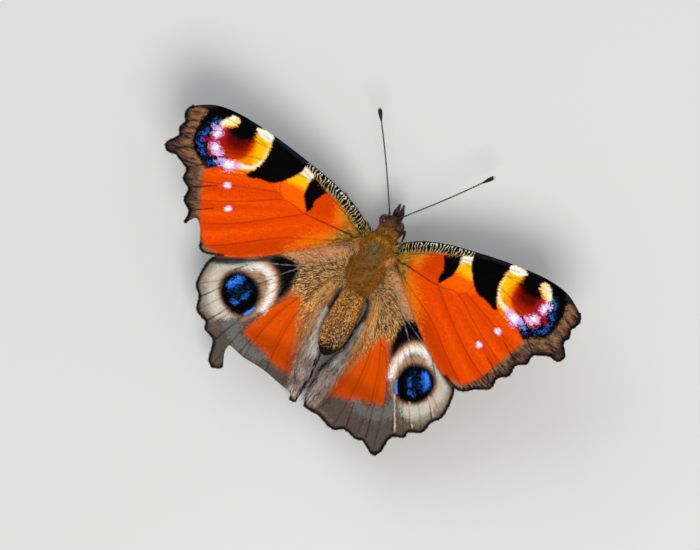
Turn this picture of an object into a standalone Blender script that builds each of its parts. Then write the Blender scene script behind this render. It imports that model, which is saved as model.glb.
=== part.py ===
"""A peacock butterfly (Aglais io), life size, wings spread flat, standing on four legs.

Sizes are in millimetres and MM turns them into metres. The head points to -Y, the
animal's left is +X, and the floor is at z = 0. Places on the body are given as
(out, ahead, up): out from the middle plane, ahead towards the head, and up from the
top of the thorax. The origin is under the middle of the whole, on the floor.
"""

from math import cos, pi, sin

import bmesh
import bpy
from mathutils import Vector
from mathutils.geometry import delaunay_2d_cdt

MM = 0.001
GAP = 0.3
BACK_HEIGHT = 8.7
LEFT, RIGHT = 1, -1
WELD_DISTANCE = 0.01
SHARP_ANGLE = 0.8

# Body, each station as (ahead, half width, top, bottom)
BODY_SIDES = 20
SQUARENESS = 2.5
STATION_SPACING = 1.0
THORAX_STATIONS = [
    (4.0, 1.45, -1.15, -4.1),
    (3.2, 2.10, -0.45, -4.8),
    (1.4, 2.60, -0.02, -5.2),
    (-1.0, 2.65, 0.00, -5.3),
    (-3.2, 2.35, -0.50, -5.1),
    (-4.5, 1.75, -1.30, -4.7),
]
HEAD_STATIONS = [
    (4.3, 1.05, -1.20, -3.55),
    (5.0, 1.25, -0.90, -3.75),
    (5.8, 1.10, -1.00, -3.75),
    (6.35, 0.72, -1.45, -3.45),
]
ABDOMEN_FRONT = -4.8
ABDOMEN_TIP = -14.2
ABDOMEN_HALF_WIDTH = 2.05
ABDOMEN_HALF_HEIGHT = 1.8
ABDOMEN_AXIS = -3.1
ABDOMEN_WAIST = 0.85
ABDOMEN_FULL_FROM = 0.35
TIP_FULLNESS = 4.0
TIP_BLUNTNESS = 0.6
TIP_SHARES = (0.93, 0.97, 0.99)
ABDOMEN_SEGMENTS = 7
SEGMENT_CROWDING = 0.95
GROOVE_LEAD, GROOVE_LIP, GROOVE_EXIT = 0.07, 0.015, 0.02
SEGMENT_GROOVE = 0.09

# Head parts
EYE_CENTRE = (1.08, 5.32, -2.0)
EYE_HALF_SIZES = (0.64, 0.74, 0.88)
EYE_SEGMENTS, EYE_RINGS = 16, 10
PALP_PATH = [(0.56, 6.75, -3.7), (0.54, 7.15, -3.3), (0.44, 7.6, -2.75), (0.32, 8.05, -2.3)]
PALP_RADII = [0.32, 0.36, 0.28, 0.12]
ANTENNA_BASE = (0.86, 6.55, -1.25)
ANTENNA_TIPS = {LEFT: (8.9, 17.9, -2.6), RIGHT: (8.95, 17.0, -2.6)}
ANTENNA_SAG = 0.9
ANTENNA_RADIUS = 0.25
CLUB_LENGTH = 2.1
CLUB_RAMP = 0.35
CLUB_RADIUS = 0.36
CLUB_END = 0.2
CLUB_END_SWELL = 0.3
ANTENNA_STEPS = 22
PROBOSCIS_BASE = (0.0, 5.65, -4.07)
PROBOSCIS_CENTRE = (0.0, 6.35, -5.45)
PROBOSCIS_RADIUS = 0.22
PROBOSCIS_START = 2.3
PROBOSCIS_TURNS = 1.1
PROBOSCIS_COIL = (0.85, 0.13)
PROBOSCIS_STEPS = 18

# Legs, from the thorax to the claws
LIMB_SPACING = 1.3
FOOT_AXIS = -BACK_HEIGHT + 0.22
FORELEG_PATH = [(0.95, 4.1, -5.0), (1.2, 5.1, -5.15), (1.35, 5.2, -5.7), (1.5, 3.9, -6.2)]
FORELEG_RADII = [0.34, 0.32, 0.30, 0.22]
MIDLEG_PATH = [
    (1.5, 1.2, -5.55),
    (2.0, 1.4, -5.7),
    (5.2, 2.5, -4.6),
    (7.0, 4.1, -8.1),
    (7.6, 4.7, FOOT_AXIS),
    (8.9, 6.1, FOOT_AXIS),
]
HINDLEG_PATH = [
    (1.5, -2.2, -5.6),
    (2.0, -2.5, -5.75),
    (5.3, -4.0, -4.6),
    (7.0, -7.4, -8.1),
    (7.3, -8.2, FOOT_AXIS),
    (7.9, -10.2, FOOT_AXIS),
]
WALKING_LEG_RADII = [0.42, 0.42, 0.30, 0.27, 0.26, 0.25]

# Wings, in plan as (out, ahead)
WING_ROOT = 1.5
HINGE_OUT = 2.4
FORE_HINGE_UP, FORE_RISE, FORE_DROOP, FORE_PITCH = -1.3, 0.40, 0.0055, 0.07
HIND_HINGE_AHEAD, HIND_HINGE_UP, HIND_RISE, HIND_PITCH = -3.5, -2.2, 0.26, 0.14
FOLD_DEPTH = 2.6
FOLD_BOTTOM_OUT, FOLD_TOP_OUT = 1.2, 3.6
FOLD_STARTS, FOLD_FULL, FOLD_FADES, FOLD_ENDS = 4.8, 7.2, 11.5, 16.0
FOLD_AT_END = 0.2
MEMBRANE = 0.5
VEIN_AT_ROOT = 1.0
VEIN_AT_MARGIN = 0.7
VEIN_HALF_WIDTH = 0.42
VEIN_SPACING = 1.1
MARGIN_SPACING = 0.8
FILL_SPACING = 2.6
FILL_ROW_SHARE = 0.87
FILL_ROWS = range(-10, 10)
FILL_COLUMNS = range(13)
FILL_CLEARANCE = 0.4
CLOSEST_POINTS = 0.3
MERGE_DISTANCE = 0.02

R4, R5 = (29.75, 5.0), (29.6, 3.2)
FORE_M1, FORE_M2, FORE_M3 = (30.2, 0.3), (27.5, -0.55), (26.1, -2.5)
FORE_CU1, FORE_CU2, TORNUS = (24.75, -4.9), (23.3, -7.5), (20.0, -9.6)
FORE_COSTA = [
    (WING_ROOT, 2.7),
    (2.6, 3.6),
    (5.0, 5.1),
    (8.5, 6.35),
    (13.0, 7.3),
    (18.0, 8.1),
    (23.0, 8.5),
    (26.5, 8.1),
    (29.0, 6.8),
]
FORE_TERMEN = [
    (29.75, 6.0),
    R4,
    (29.3, 4.2),
    R5,
    (29.25, 2.2),
    (30.1, 1.0),
    FORE_M1,
    (29.6, -0.3),
    (28.4, -0.15),
    FORE_M2,
    (26.3, -1.2),
    FORE_M3,
    (24.85, -3.4),
    FORE_CU1,
    (23.5, -5.9),
    FORE_CU2,
]
FORE_TORNUS_WHOLE = [(21.6, -8.5), TORNUS]
FORE_TORNUS_TORN = [(22.3, -6.3), (21.4, -6.9), (20.7, -8.2), (19.9, -9.6)]
FORE_HIND_MARGIN = [
    (18.3, -9.5),
    (14.6, -7.9),
    (10.6, -5.1),
    (6.5, -1.8),
    (3.9, 0.3),
    (WING_ROOT, 1.0),
]
FORE_VEINS = [
    [(WING_ROOT, 2.5), (3.0, 2.9), (7.0, 5.2), (11.5, 6.5), (15.0, 7.4)],
    [(WING_ROOT, 2.0), (3.2, 2.3), (6.5, 3.9), (10.5, 5.2), (14.4, 5.2), (18.0, 6.4), (25.5, 7.2), R4],
    [(10.5, 5.2), (15.0, 6.6), (19.5, 7.6)],
    [(18.0, 6.4), (23.0, 5.9), R5],
    [(14.4, 5.2), (19.0, 4.4), (25.0, 2.4), FORE_M1],
    [(14.4, 5.2), (14.9, 3.6), (19.0, 2.2), FORE_M2],
    [(14.9, 3.6), (14.2, 1.9), (13.3, 1.3)],
    [(14.2, 1.9), (17.0, 0.9), (21.5, -0.8), FORE_M3],
    [(WING_ROOT, 1.6), (3.0, 1.5), (6.5, 1.3), (10.2, 1.0), (13.3, 1.3), (17.0, -0.9), (21.0, -3.1)]
    + [FORE_CU1],
    [(10.2, 1.0), (13.0, -1.2), (18.0, -4.8), FORE_CU2],
    [(WING_ROOT, 1.3), (3.2, 0.9), (7.3, -1.2), (11.5, -3.3), (16.5, -7.0), (19.6, -9.0)],
]

RS, HIND_M1, HIND_M2 = (18.75, -13.9), (17.2, -16.9), (15.2, -18.65)
TAIL, HIND_CU1, HIND_CU2 = (12.4, -22.6), (9.2, -21.85), (5.6, -22.2)
HIND_COSTA = [
    (WING_ROOT, -0.6),
    (3.2, -0.1),
    (5.0, -0.5),
    (7.0, -1.6),
    (12.0, -4.1),
    (16.0, -7.0),
    (18.2, -9.4),
]
HIND_TERMEN = [
    (18.85, -11.4),
    RS,
    (17.75, -15.2),
    HIND_M1,
    (15.5, -17.7),
    HIND_M2,
    (13.7, -19.3),
    (13.3, -20.6),
]
TAIL_WHOLE = [(13.2, -21.8), TAIL, (11.1, -22.0)]
TAIL_TORN = [(13.0, -21.9), (12.2, -22.6), (11.1, -21.9), (11.6, -20.2), (11.5, -19.0)]
HIND_BORDER_WHOLE = [
    (10.2, -21.6),
    HIND_CU1,
    (7.3, -21.45),
    HIND_CU2,
    (3.2, -21.5),
    (0.8, -21.4),
    (0.25, -20.8),
    (0.05, -18.5),
    (0.2, -16.0),
]
HIND_BORDER_TORN = [
    (9.2, -19.5),
    (6.3, -19.7),
    (3.6, -20.3),
    (2.0, -20.7),
    (1.5, -21.5),
    (0.8, -21.3),
    (0.6, -19.5),
    (0.5, -17.5),
    (0.5, -15.8),
]
HIND_INNER_MARGIN = [
    (0.8, -13.8),
    (1.15, -12.0),
    (1.3, -10.0),
    (2.0, -8.4),
    (2.4, -6.8),
    (2.4, -5.6),
    (WING_ROOT, -4.2),
]
HIND_VEINS = [
    [(WING_ROOT, -2.4), (3.2, -2.7), (6.3, -3.9), (8.2, -5.2), (12.0, -6.8), (18.2, -9.9)],
    [(WING_ROOT, -3.0), (3.2, -3.3), (5.8, -4.6), (8.2, -6.3), (12.0, -9.4), (15.6, -11.6), RS],
    [(8.2, -6.3), (9.4, -8.3), (14.2, -12.9), HIND_M1],
    [(9.4, -8.3), (9.6, -10.0), (12.8, -14.4), HIND_M2],
    [(WING_ROOT, -3.7), (3.2, -4.2), (4.6, -6.8), (6.4, -9.2), (7.6, -10.0), (10.4, -15.0), TAIL],
    [(6.4, -9.2), (8.0, -13.0), (9.0, -17.5), HIND_CU1],
    [(4.6, -6.8), (5.7, -11.5), (6.0, -17.0), HIND_CU2],
    [(WING_ROOT, -4.1), (3.1, -5.1), (3.7, -9.0), (3.2, -14.5), (1.5, -21.0)],
]

# Each colour with its roughness
LOOKS = {
    "fur_brown": ((0.27, 0.15, 0.05, 1.0), 0.9),
    "abdomen_ochre": ((0.22, 0.12, 0.04, 1.0), 0.9),
    "eye_brown": ((0.06, 0.03, 0.02, 1.0), 0.2),
    "limb_dark": ((0.05, 0.03, 0.02, 1.0), 0.6),
    "forewing_red": ((0.70, 0.10, 0.01, 1.0), 0.7),
    "hindwing_brown": ((0.30, 0.13, 0.06, 1.0), 0.7),
}


def place(side, out, ahead, up):
    """A place on the animal, in metres in the model's axes."""
    return Vector((side * out, -ahead, BACK_HEIGHT + up)) * MM


def blend(value, low, high):
    """0 below low, 1 above high, and a smooth rise between."""
    share = min(max((value - low) / (high - low), 0.0), 1.0)
    return share * share * (3 - 2 * share)


def forewing_height(out, ahead):
    reach = out - HINGE_OUT
    return FORE_HINGE_UP + FORE_RISE * reach - FORE_DROOP * reach * reach + FORE_PITCH * ahead


def hindwing_height(out, ahead):
    """The sheet falls away beside the abdomen and passes under its flank."""
    plane = HIND_HINGE_UP + HIND_RISE * (out - HINGE_OUT) + HIND_PITCH * (ahead - HIND_HINGE_AHEAD)
    fold = 1 - blend(out, FOLD_BOTTOM_OUT, FOLD_TOP_OUT)
    beside_abdomen = 1 - (1 - FOLD_AT_END) * blend(-ahead, FOLD_FADES, FOLD_ENDS)
    behind_root = blend(-ahead, FOLD_STARTS, FOLD_FULL)
    return plane - FOLD_DEPTH * fold * beside_abdomen * behind_root


def smooth_path(points, spacing):
    """Points along a Catmull-Rom curve through the given ones, which it keeps."""
    points = [Vector(point) for point in points]
    ends = [2 * points[0] - points[1]] + points + [2 * points[-1] - points[-2]]
    path = [points[0]]
    for before, start, stop, after in zip(ends, ends[1:], ends[2:], ends[3:]):
        steps = max(1, round((stop - start).length / spacing))
        for step in range(1, steps + 1):
            t = step / steps
            path.append(
                0.5
                * (
                    2 * start
                    + (stop - before) * t
                    + (2 * before - 5 * start + 4 * stop - after) * t**2
                    + (3 * start - before - 3 * stop + after) * t**3
                )
            )
    return path


def material(name):
    """The named look, made once."""
    if name not in bpy.data.materials:
        colour, roughness = LOOKS[name]
        made = bpy.data.materials.new(name)
        made.use_nodes = True
        shader = made.node_tree.nodes["Principled BSDF"]
        shader.inputs["Base Color"].default_value = colour
        shader.inputs["Roughness"].default_value = roughness
        made.diffuse_color = colour
    return bpy.data.materials[name]


def add_object(name, mesh, look):
    made = bpy.data.objects.new(name, mesh)
    if look:
        mesh.materials.append(material(look))
    collection = bpy.data.collections["peacock_butterfly" if look else "guides"]
    collection.objects.link(made)
    return made


def mesh_of(build, name):
    """The mesh of a bmesh, which is freed."""
    bmesh.ops.recalc_face_normals(build, faces=build.faces)
    mesh = bpy.data.meshes.new(name)
    build.to_mesh(mesh)
    build.free()
    mesh.shade_smooth()
    mesh.set_sharp_from_angle(angle=SHARP_ANGLE)
    return mesh


def make_guide(guide):
    guide.hide_render = True
    guide.display_type = "WIRE"
    return guide


def loft(name, stations, look, grow=0.0):
    """A body with flat ends, its section a squarish oval at each station."""
    build = bmesh.new()
    rings = []
    for ahead, half_width, top, bottom in stations:
        middle, half_height = (top + bottom) / 2, (top - bottom) / 2 + grow
        ring = []
        for step in range(BODY_SIDES):
            turn = 2 * pi * (step + 0.5) / BODY_SIDES
            across, rise = cos(turn), sin(turn)
            fit = (abs(across) ** SQUARENESS + abs(rise) ** SQUARENESS) ** (-1 / SQUARENESS)
            out = (half_width + grow) * across * fit
            ring.append(build.verts.new(place(LEFT, out, ahead, middle + half_height * rise * fit)))
        rings.append(ring)
    for ring, after in zip(rings, rings[1:]):
        for step in range(BODY_SIDES):
            following = (step + 1) % BODY_SIDES
            build.faces.new([ring[step], ring[following], after[following], after[step]])
    build.faces.new(rings[0])
    build.faces.new(rings[-1])
    return add_object(name, mesh_of(build, name), look)


def make_thorax():
    stations = smooth_path(THORAX_STATIONS, STATION_SPACING)
    loft("thorax", stations, "fur_brown")
    front, back = stations[0], stations[-1]
    grown = [(front[0] + GAP, *front[1:]), *stations, (back[0] - GAP, *back[1:])]
    return make_guide(loft("thorax_clearance", grown, None, GAP))


def make_abdomen():
    """Seven segments, each ending in a shallow groove, barrel-shaped to a blunt tip."""
    profile = [(0.0, 0.0)]
    for segment in range(1, ABDOMEN_SEGMENTS):
        joint = (segment / ABDOMEN_SEGMENTS) ** SEGMENT_CROWDING
        profile += [(joint - GROOVE_LEAD, 0.0), (joint - GROOVE_LIP, 0.0)]
        profile += [(joint, SEGMENT_GROOVE), (joint + GROOVE_EXIT, 0.0)]
    profile += [(share, 0.0) for share in TIP_SHARES]
    stations = []
    for share, groove in profile:
        along = max(0.0, (share - ABDOMEN_FULL_FROM) / (1 - ABDOMEN_FULL_FROM))
        waist = ABDOMEN_WAIST + (1 - ABDOMEN_WAIST) * blend(share, 0.0, ABDOMEN_FULL_FROM)
        size = waist * (1 - along**TIP_FULLNESS) ** TIP_BLUNTNESS - groove / ABDOMEN_HALF_WIDTH
        half_height = ABDOMEN_HALF_HEIGHT * size
        ahead = ABDOMEN_FRONT + share * (ABDOMEN_TIP - ABDOMEN_FRONT)
        stations.append(
            (ahead, ABDOMEN_HALF_WIDTH * size, ABDOMEN_AXIS + half_height, ABDOMEN_AXIS - half_height)
        )
    loft("abdomen", stations, "abdomen_ochre")


def ellipsoid(name, side, look, grow=0.0):
    """An eye, or its socket where it is grown by the gap."""
    build = bmesh.new()
    bmesh.ops.create_uvsphere(build, u_segments=EYE_SEGMENTS, v_segments=EYE_RINGS, radius=1.0)
    half_sizes = Vector([size + grow for size in EYE_HALF_SIZES]) * MM
    middle = place(side, *EYE_CENTRE)
    for corner in build.verts:
        corner.co = middle + corner.co * half_sizes
    return add_object(name, mesh_of(build, name), look)


def cut(target, cutter):
    boolean = target.modifiers.new(cutter.name, "BOOLEAN")
    boolean.operation = "DIFFERENCE"
    boolean.object = cutter


def make_head():
    head = loft("head", smooth_path(HEAD_STATIONS, STATION_SPACING), "fur_brown")
    for side, name in ((LEFT, "left"), (RIGHT, "right")):
        ellipsoid("eye_" + name, side, "eye_brown")
        cut(head, make_guide(ellipsoid("socket_" + name, side, None, GAP)))


def tube(name, side, path, look):
    """A closed round limb along (out, ahead, up, radius)."""
    data = bpy.data.curves.new(name + "_line", "CURVE")
    data.dimensions = "3D"
    data.bevel_depth = MM
    data.bevel_resolution = 2
    data.use_fill_caps = True
    spline = data.splines.new("POLY")
    spline.points.add(len(path) - 1)
    for point, (out, ahead, up, radius) in zip(spline.points, path):
        point.co = (*place(side, out, ahead, up), 1)
        point.radius = radius
    line = bpy.data.objects.new(name + "_line", data)
    bpy.context.scene.collection.objects.link(line)
    graph = bpy.context.evaluated_depsgraph_get()
    mesh = bpy.data.meshes.new_from_object(line.evaluated_get(graph))
    bpy.data.objects.remove(line)
    build = bmesh.new()
    build.from_mesh(mesh)
    bpy.data.meshes.remove(mesh)
    bmesh.ops.remove_doubles(build, verts=build.verts, dist=WELD_DISTANCE * MM)
    if min(corner.co.z for corner in build.verts) < 0:
        level_off(build)
    return add_object(name, mesh_of(build, name), look)


def level_off(build):
    """Cuts a foot flat at the floor."""
    everything = build.verts[:] + build.edges[:] + build.faces[:]
    bmesh.ops.bisect_plane(build, geom=everything, plane_co=(0, 0, 0), plane_no=(0, 0, -1), clear_outer=True)
    bmesh.ops.holes_fill(build, edges=[edge for edge in build.edges if edge.is_boundary])


def limb(name, side, points, radii):
    path = [(*point, radius) for point, radius in zip(points, radii)]
    return tube(name, side, smooth_path(path, LIMB_SPACING), "limb_dark")


def antenna_path(side):
    """A thin feeler that swells to a club near its end."""
    base, tip = Vector(ANTENNA_BASE), Vector(ANTENNA_TIPS[side])
    length = (tip - base).length
    path = []
    for share in [step / ANTENNA_STEPS for step in range(ANTENNA_STEPS + 1)]:
        spot = base.lerp(tip, share)
        to_tip = (1 - share) * length
        swell = CLUB_END_SWELL
        if to_tip > CLUB_END:
            swell = 1 - blend(to_tip, CLUB_RAMP * CLUB_LENGTH, CLUB_LENGTH)
        radius = ANTENNA_RADIUS + (CLUB_RADIUS - ANTENNA_RADIUS) * swell
        path.append((spot.x, spot.y, spot.z - ANTENNA_SAG * sin(pi * share), radius))
    return path


def proboscis_path():
    """The coiled tongue, from under the head forward, down and back."""
    _, ahead, up = PROBOSCIS_CENTRE
    path = [(*PROBOSCIS_BASE, PROBOSCIS_RADIUS)]
    for share in [step / PROBOSCIS_STEPS for step in range(PROBOSCIS_STEPS + 1)]:
        turn = PROBOSCIS_START - 2 * pi * PROBOSCIS_TURNS * share
        reach = PROBOSCIS_COIL[0] + (PROBOSCIS_COIL[1] - PROBOSCIS_COIL[0]) * share
        path.append((0.0, ahead + reach * cos(turn), up + reach * sin(turn), PROBOSCIS_RADIUS))
    return path


def make_limbs():
    for side, name in ((LEFT, "left"), (RIGHT, "right")):
        limb("palp_" + name, side, PALP_PATH, PALP_RADII)
        limb("foreleg_" + name, side, FORELEG_PATH, FORELEG_RADII)
        limb("midleg_" + name, side, MIDLEG_PATH, WALKING_LEG_RADII)
        limb("hindleg_" + name, side, HINDLEG_PATH, WALKING_LEG_RADII)
        tube("antenna_" + name, side, antenna_path(side), "limb_dark")
    tube("proboscis", LEFT, proboscis_path(), "limb_dark")


def distance_to_path(point, path):
    """How far a point in the plan is from the nearest stretch of a path."""
    nearest = 1e9
    for start, stop in zip(path, path[1:]):
        along = stop - start
        share = min(max((point - start).dot(along) / max(along.length_squared, 1e-12), 0.0), 1.0)
        nearest = min(nearest, (point - start - along * share).length)
    return nearest


def is_inside(point, rim):
    crossings = 0
    for start, stop in zip(rim, rim[1:] + rim[:1]):
        if (start.y > point.y) != (stop.y > point.y):
            across = start.x + (point.y - start.y) / (stop.y - start.y) * (stop.x - start.x)
            crossings += point.x < across
    return crossings % 2 == 1


def is_well_inside(point, rim, closed_rim):
    return is_inside(point, rim) and distance_to_path(point, closed_rim) > CLOSEST_POINTS


def wing_points(rim, veins):
    """The crest lines that lie on the wing, then the loose points beside and between them."""
    closed_rim = rim + rim[:1]
    crests = []
    for vein in veins:
        path = smooth_path(vein, VEIN_SPACING)
        crests.append([spot for spot in path if spot in rim or is_well_inside(spot, rim, closed_rim)])
    loose = []
    for path in crests:
        for before, spot, after in zip(path, path[1:], path[2:]):
            along = (after - before).normalized()
            for sideways in (1, -1):
                beside = spot + Vector((-along.y, along.x)) * VEIN_HALF_WIDTH * sideways
                others = [other for other in crests if other is not path]
                clear = min(distance_to_path(beside, other) for other in others) > CLOSEST_POINTS
                clear = clear and all((beside - other).length > CLOSEST_POINTS for other in loose)
                if clear and is_well_inside(beside, rim, closed_rim):
                    loose.append(beside)
    taken = rim + loose + [spot for path in crests for spot in path]
    for row in FILL_ROWS:
        for column in FILL_COLUMNS:
            spot = Vector((column + 0.5 * (row % 2), FILL_ROW_SHARE * row)) * FILL_SPACING
            clear = all((spot - other).length > FILL_CLEARANCE * FILL_SPACING for other in taken)
            if clear and is_inside(spot, rim):
                loose.append(spot)
    return crests, loose


def wing_thickness(spot, veins, root, reach):
    """The membrane, thickened to a ridge over each vein."""
    nearest = min(distance_to_path(spot, path) for path in veins)
    crest = VEIN_AT_ROOT + (VEIN_AT_MARGIN - VEIN_AT_ROOT) * min((spot - root).length / reach, 1.0)
    return MEMBRANE + (crest - MEMBRANE) * max(0.0, 1 - nearest / VEIN_HALF_WIDTH)


def wing(name, side, rim, edge_vein, veins, height, look, clearance):
    """A cambered sheet with its veins as ridges on both faces, cut back from the thorax."""
    crests, loose = wing_points(rim, veins)
    spots = list(rim)
    edges = [(index, (index + 1) % len(rim)) for index in range(len(rim))]
    for path in crests:
        first = len(spots)
        spots += path
        edges += [(index, index + 1) for index in range(first, len(spots) - 1)]
    spots += loose
    sheet = delaunay_2d_cdt(spots, edges, [list(range(len(rim)))], 1, MERGE_DISTANCE)
    root = Vector((WING_ROOT, rim[0].y))
    reach = max((spot - root).length for spot in rim)
    build = bmesh.new()
    weights = []
    for spot in sheet[0]:
        build.verts.new(place(side, spot.x, spot.y, height(spot.x, spot.y)))
        thickness = wing_thickness(spot, crests + [edge_vein], root, reach)
        weights.append((thickness - MEMBRANE) / (VEIN_AT_ROOT - MEMBRANE))
    build.verts.ensure_lookup_table()
    for face in sheet[2]:
        build.faces.new([build.verts[index] for index in face])
    made = add_object(name, mesh_of(build, name), look)
    ridges = made.vertex_groups.new(name="ridges")
    for index, weight in enumerate(weights):
        ridges.add([index], weight, "REPLACE")
    solid = made.modifiers.new("thickness", "SOLIDIFY")
    solid.thickness = VEIN_AT_ROOT * MM
    solid.offset = 0
    solid.vertex_group = ridges.name
    solid.thickness_vertex_group = MEMBRANE / VEIN_AT_ROOT
    cut(made, clearance)


def outline(*stretches):
    """The closed outline from its stretches, each smooth in itself and joined end to end."""
    points = [point for stretch in stretches for point in stretch]
    return smooth_path(points, MARGIN_SPACING)


def make_wings(clearance):
    fore_costa = smooth_path(FORE_COSTA, MARGIN_SPACING)
    hind_costa = smooth_path(HIND_COSTA, MARGIN_SPACING)
    torn = (LEFT, "left", FORE_TORNUS_TORN, TAIL_TORN, HIND_BORDER_TORN)
    whole = (RIGHT, "right", FORE_TORNUS_WHOLE, TAIL_WHOLE, HIND_BORDER_WHOLE)
    for side, name, tornus, tail, border in (torn, whole):
        fore = outline(FORE_COSTA, FORE_TERMEN, tornus, FORE_HIND_MARGIN)
        hind = outline(HIND_COSTA, HIND_TERMEN, tail, border, HIND_INNER_MARGIN)
        fore_shape = (fore, fore_costa, FORE_VEINS, forewing_height)
        hind_shape = (hind, hind_costa, HIND_VEINS, hindwing_height)
        wing("forewing_" + name, side, *fore_shape, "forewing_red", clearance)
        wing("hindwing_" + name, side, *hind_shape, "hindwing_brown", clearance)


def centre_on_origin():
    """Hangs every piece on one empty, set so that the middle of the whole is over the origin."""
    bpy.context.view_layer.update()
    graph = bpy.context.evaluated_depsgraph_get()
    pieces = bpy.data.collections["peacock_butterfly"].objects
    corners = [
        corner.co
        for piece in pieces
        for corner in piece.evaluated_get(graph).data.vertices
    ]
    middle_x = (min(c.x for c in corners) + max(c.x for c in corners)) / 2
    middle_y = (min(c.y for c in corners) + max(c.y for c in corners)) / 2
    stand = bpy.data.objects.new("butterfly", None)
    bpy.context.scene.collection.objects.link(stand)
    stand.location = (-middle_x, -middle_y, 0)
    for made in (*pieces, *bpy.data.collections["guides"].objects):
        made.parent = stand


def main():
    for startup in list(bpy.data.objects):
        bpy.data.objects.remove(startup)
    for name in ("peacock_butterfly", "guides"):
        bpy.context.scene.collection.children.link(bpy.data.collections.new(name))
    clearance = make_thorax()
    make_head()
    make_abdomen()
    make_limbs()
    make_wings(clearance)
    centre_on_origin()


main()
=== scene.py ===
# %% [markdown]
# # A peacock butterfly, dressed
# The solid model gives the butterfly's shape and stance. This lesson dresses it: thin veined
# wings with their painted scales, one furred skin over head, thorax and abdomen, hairy eyes,
# ringed antennae and spiny legs. First the imported model comes in as a fixed frame. Nothing
# that is added may leave it.

from math import cos, pi, radians, sin

import bmesh
import bpy
import numpy as np
from mathutils import Matrix, Vector
from mathutils.bvhtree import BVHTree
from mathutils.geometry import delaunay_2d_cdt


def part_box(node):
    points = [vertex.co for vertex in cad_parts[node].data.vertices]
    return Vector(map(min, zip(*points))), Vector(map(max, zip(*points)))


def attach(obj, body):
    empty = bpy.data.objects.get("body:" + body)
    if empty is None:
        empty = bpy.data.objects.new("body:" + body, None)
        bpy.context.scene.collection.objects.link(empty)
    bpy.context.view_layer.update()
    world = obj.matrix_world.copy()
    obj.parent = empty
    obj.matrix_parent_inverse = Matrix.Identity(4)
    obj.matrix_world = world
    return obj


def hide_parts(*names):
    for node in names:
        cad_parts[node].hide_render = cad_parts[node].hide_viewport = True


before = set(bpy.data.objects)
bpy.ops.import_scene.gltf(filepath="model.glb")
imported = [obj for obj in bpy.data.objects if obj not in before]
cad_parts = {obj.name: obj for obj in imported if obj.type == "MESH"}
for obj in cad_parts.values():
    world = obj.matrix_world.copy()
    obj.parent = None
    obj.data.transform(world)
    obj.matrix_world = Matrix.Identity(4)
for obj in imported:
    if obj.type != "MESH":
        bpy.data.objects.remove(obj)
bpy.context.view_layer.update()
MM = 0.001
LEFT, RIGHT = 1, -1
SIDES = ((LEFT, "left"), (RIGHT, "right"))
print("nodes in the frame:", len(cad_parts))

# %% [markdown]
# Places on the animal are easiest to say as (out, ahead, up) in millimetres: out from its
# middle plane, ahead towards the head, up from the top of the thorax. The thorax of the frame
# tells where that is in the model, whose head points to -Y.

# %% Places on the animal
THORAX_FRONT, BACK_HEIGHT = 4.0, 8.7
thorax_low, thorax_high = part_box("thorax")
MIDDLE_X = (thorax_low.x + thorax_high.x) / 2
MIDDLE_Y = thorax_low.y + THORAX_FRONT * MM


def place(side, out, ahead, up):
    """A place on the animal as a point of the model."""
    return Vector((MIDDLE_X + side * out * MM, MIDDLE_Y - ahead * MM, (BACK_HEIGHT + up) * MM))


def places(side, spots):
    """The same for an array of (out, ahead, up)."""
    spots = np.asarray(spots, float)
    return np.column_stack(
        (
            MIDDLE_X + side * spots[:, 0] * MM,
            MIDDLE_Y - spots[:, 1] * MM,
            (BACK_HEIGHT + spots[:, 2]) * MM,
        )
    )


def spots_of(points):
    """The way back, from points of the model to (out, ahead, up) with out positive to the left."""
    points = np.asarray(points, float) / MM
    return np.column_stack((points[:, 0] - MIDDLE_X / MM, MIDDLE_Y / MM - points[:, 1], points[:, 2] - BACK_HEIGHT))


print("top of the thorax at", [round(value / MM, 2) for value in place(LEFT, 0, 0, 0)], "mm")

# %% [markdown]
# ## Camera, floor and light
# The picture looks down on the animal from above its left wings, leaning 12 degrees to that
# side, with the body turned 28 degrees in the frame. A camera far away behind a long lens
# keeps the wings' proportions flat and true. The floor is a plain pale sheet, and large soft
# lamps stand in for open shade with a little sun.

# %% Camera
TURN, LEAN = radians(28.4), radians(12.0)
CAMERA_DISTANCE = 1.1
PIXELS_PER_MM, PICTURE_WIDTH = 7.6, 700
across = Vector((-cos(LEAN), 0, -sin(LEAN)))
forward = Vector((0, -1, 0))
camera_right = cos(TURN) * across + sin(TURN) * forward
camera_up = cos(TURN) * forward - sin(TURN) * across
camera_back = camera_right.cross(camera_up)
aim = place(LEFT, -0.605, 0, 0) - camera_right * 23.8 / PIXELS_PER_MM * MM - camera_up * 15.2 / PIXELS_PER_MM * MM
field_width = PICTURE_WIDTH / PIXELS_PER_MM * MM
bpy.ops.object.camera_add()
camera = bpy.context.object
camera.name = "camera"
camera.data.sensor_width = 36
camera.data.lens = 36 * CAMERA_DISTANCE / field_width
camera.data.clip_start, camera.data.clip_end = 0.01, 20
camera.matrix_world = Matrix(
    [
        (*(vector[axis] for vector in (camera_right, camera_up, camera_back)), (aim + camera_back * CAMERA_DISTANCE)[axis])
        for axis in range(3)
    ]
    + [(0, 0, 0, 1)]
)
bpy.context.scene.camera = camera
print("lens", round(camera.data.lens), "mm at", CAMERA_DISTANCE, "m")

# %% Floor
FLOOR_SIZE = 6.0


def deselect_all():
    if bpy.context.mode != "OBJECT":
        bpy.ops.object.mode_set(mode="OBJECT")
    bpy.ops.object.select_all(action="DESELECT")


deselect_all()
bpy.ops.mesh.primitive_plane_add(size=FLOOR_SIZE, location=(0, 0, 0))
floor = bpy.context.object
floor.name = "floor"
paper = bpy.data.materials.new("pale_paper")
paper.use_nodes = True
paper.node_tree.nodes["Principled BSDF"].inputs["Base Color"].default_value = (0.72, 0.72, 0.70, 1)
paper.node_tree.nodes["Principled BSDF"].inputs["Roughness"].default_value = 0.9
floor.data.materials.append(paper)

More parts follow.
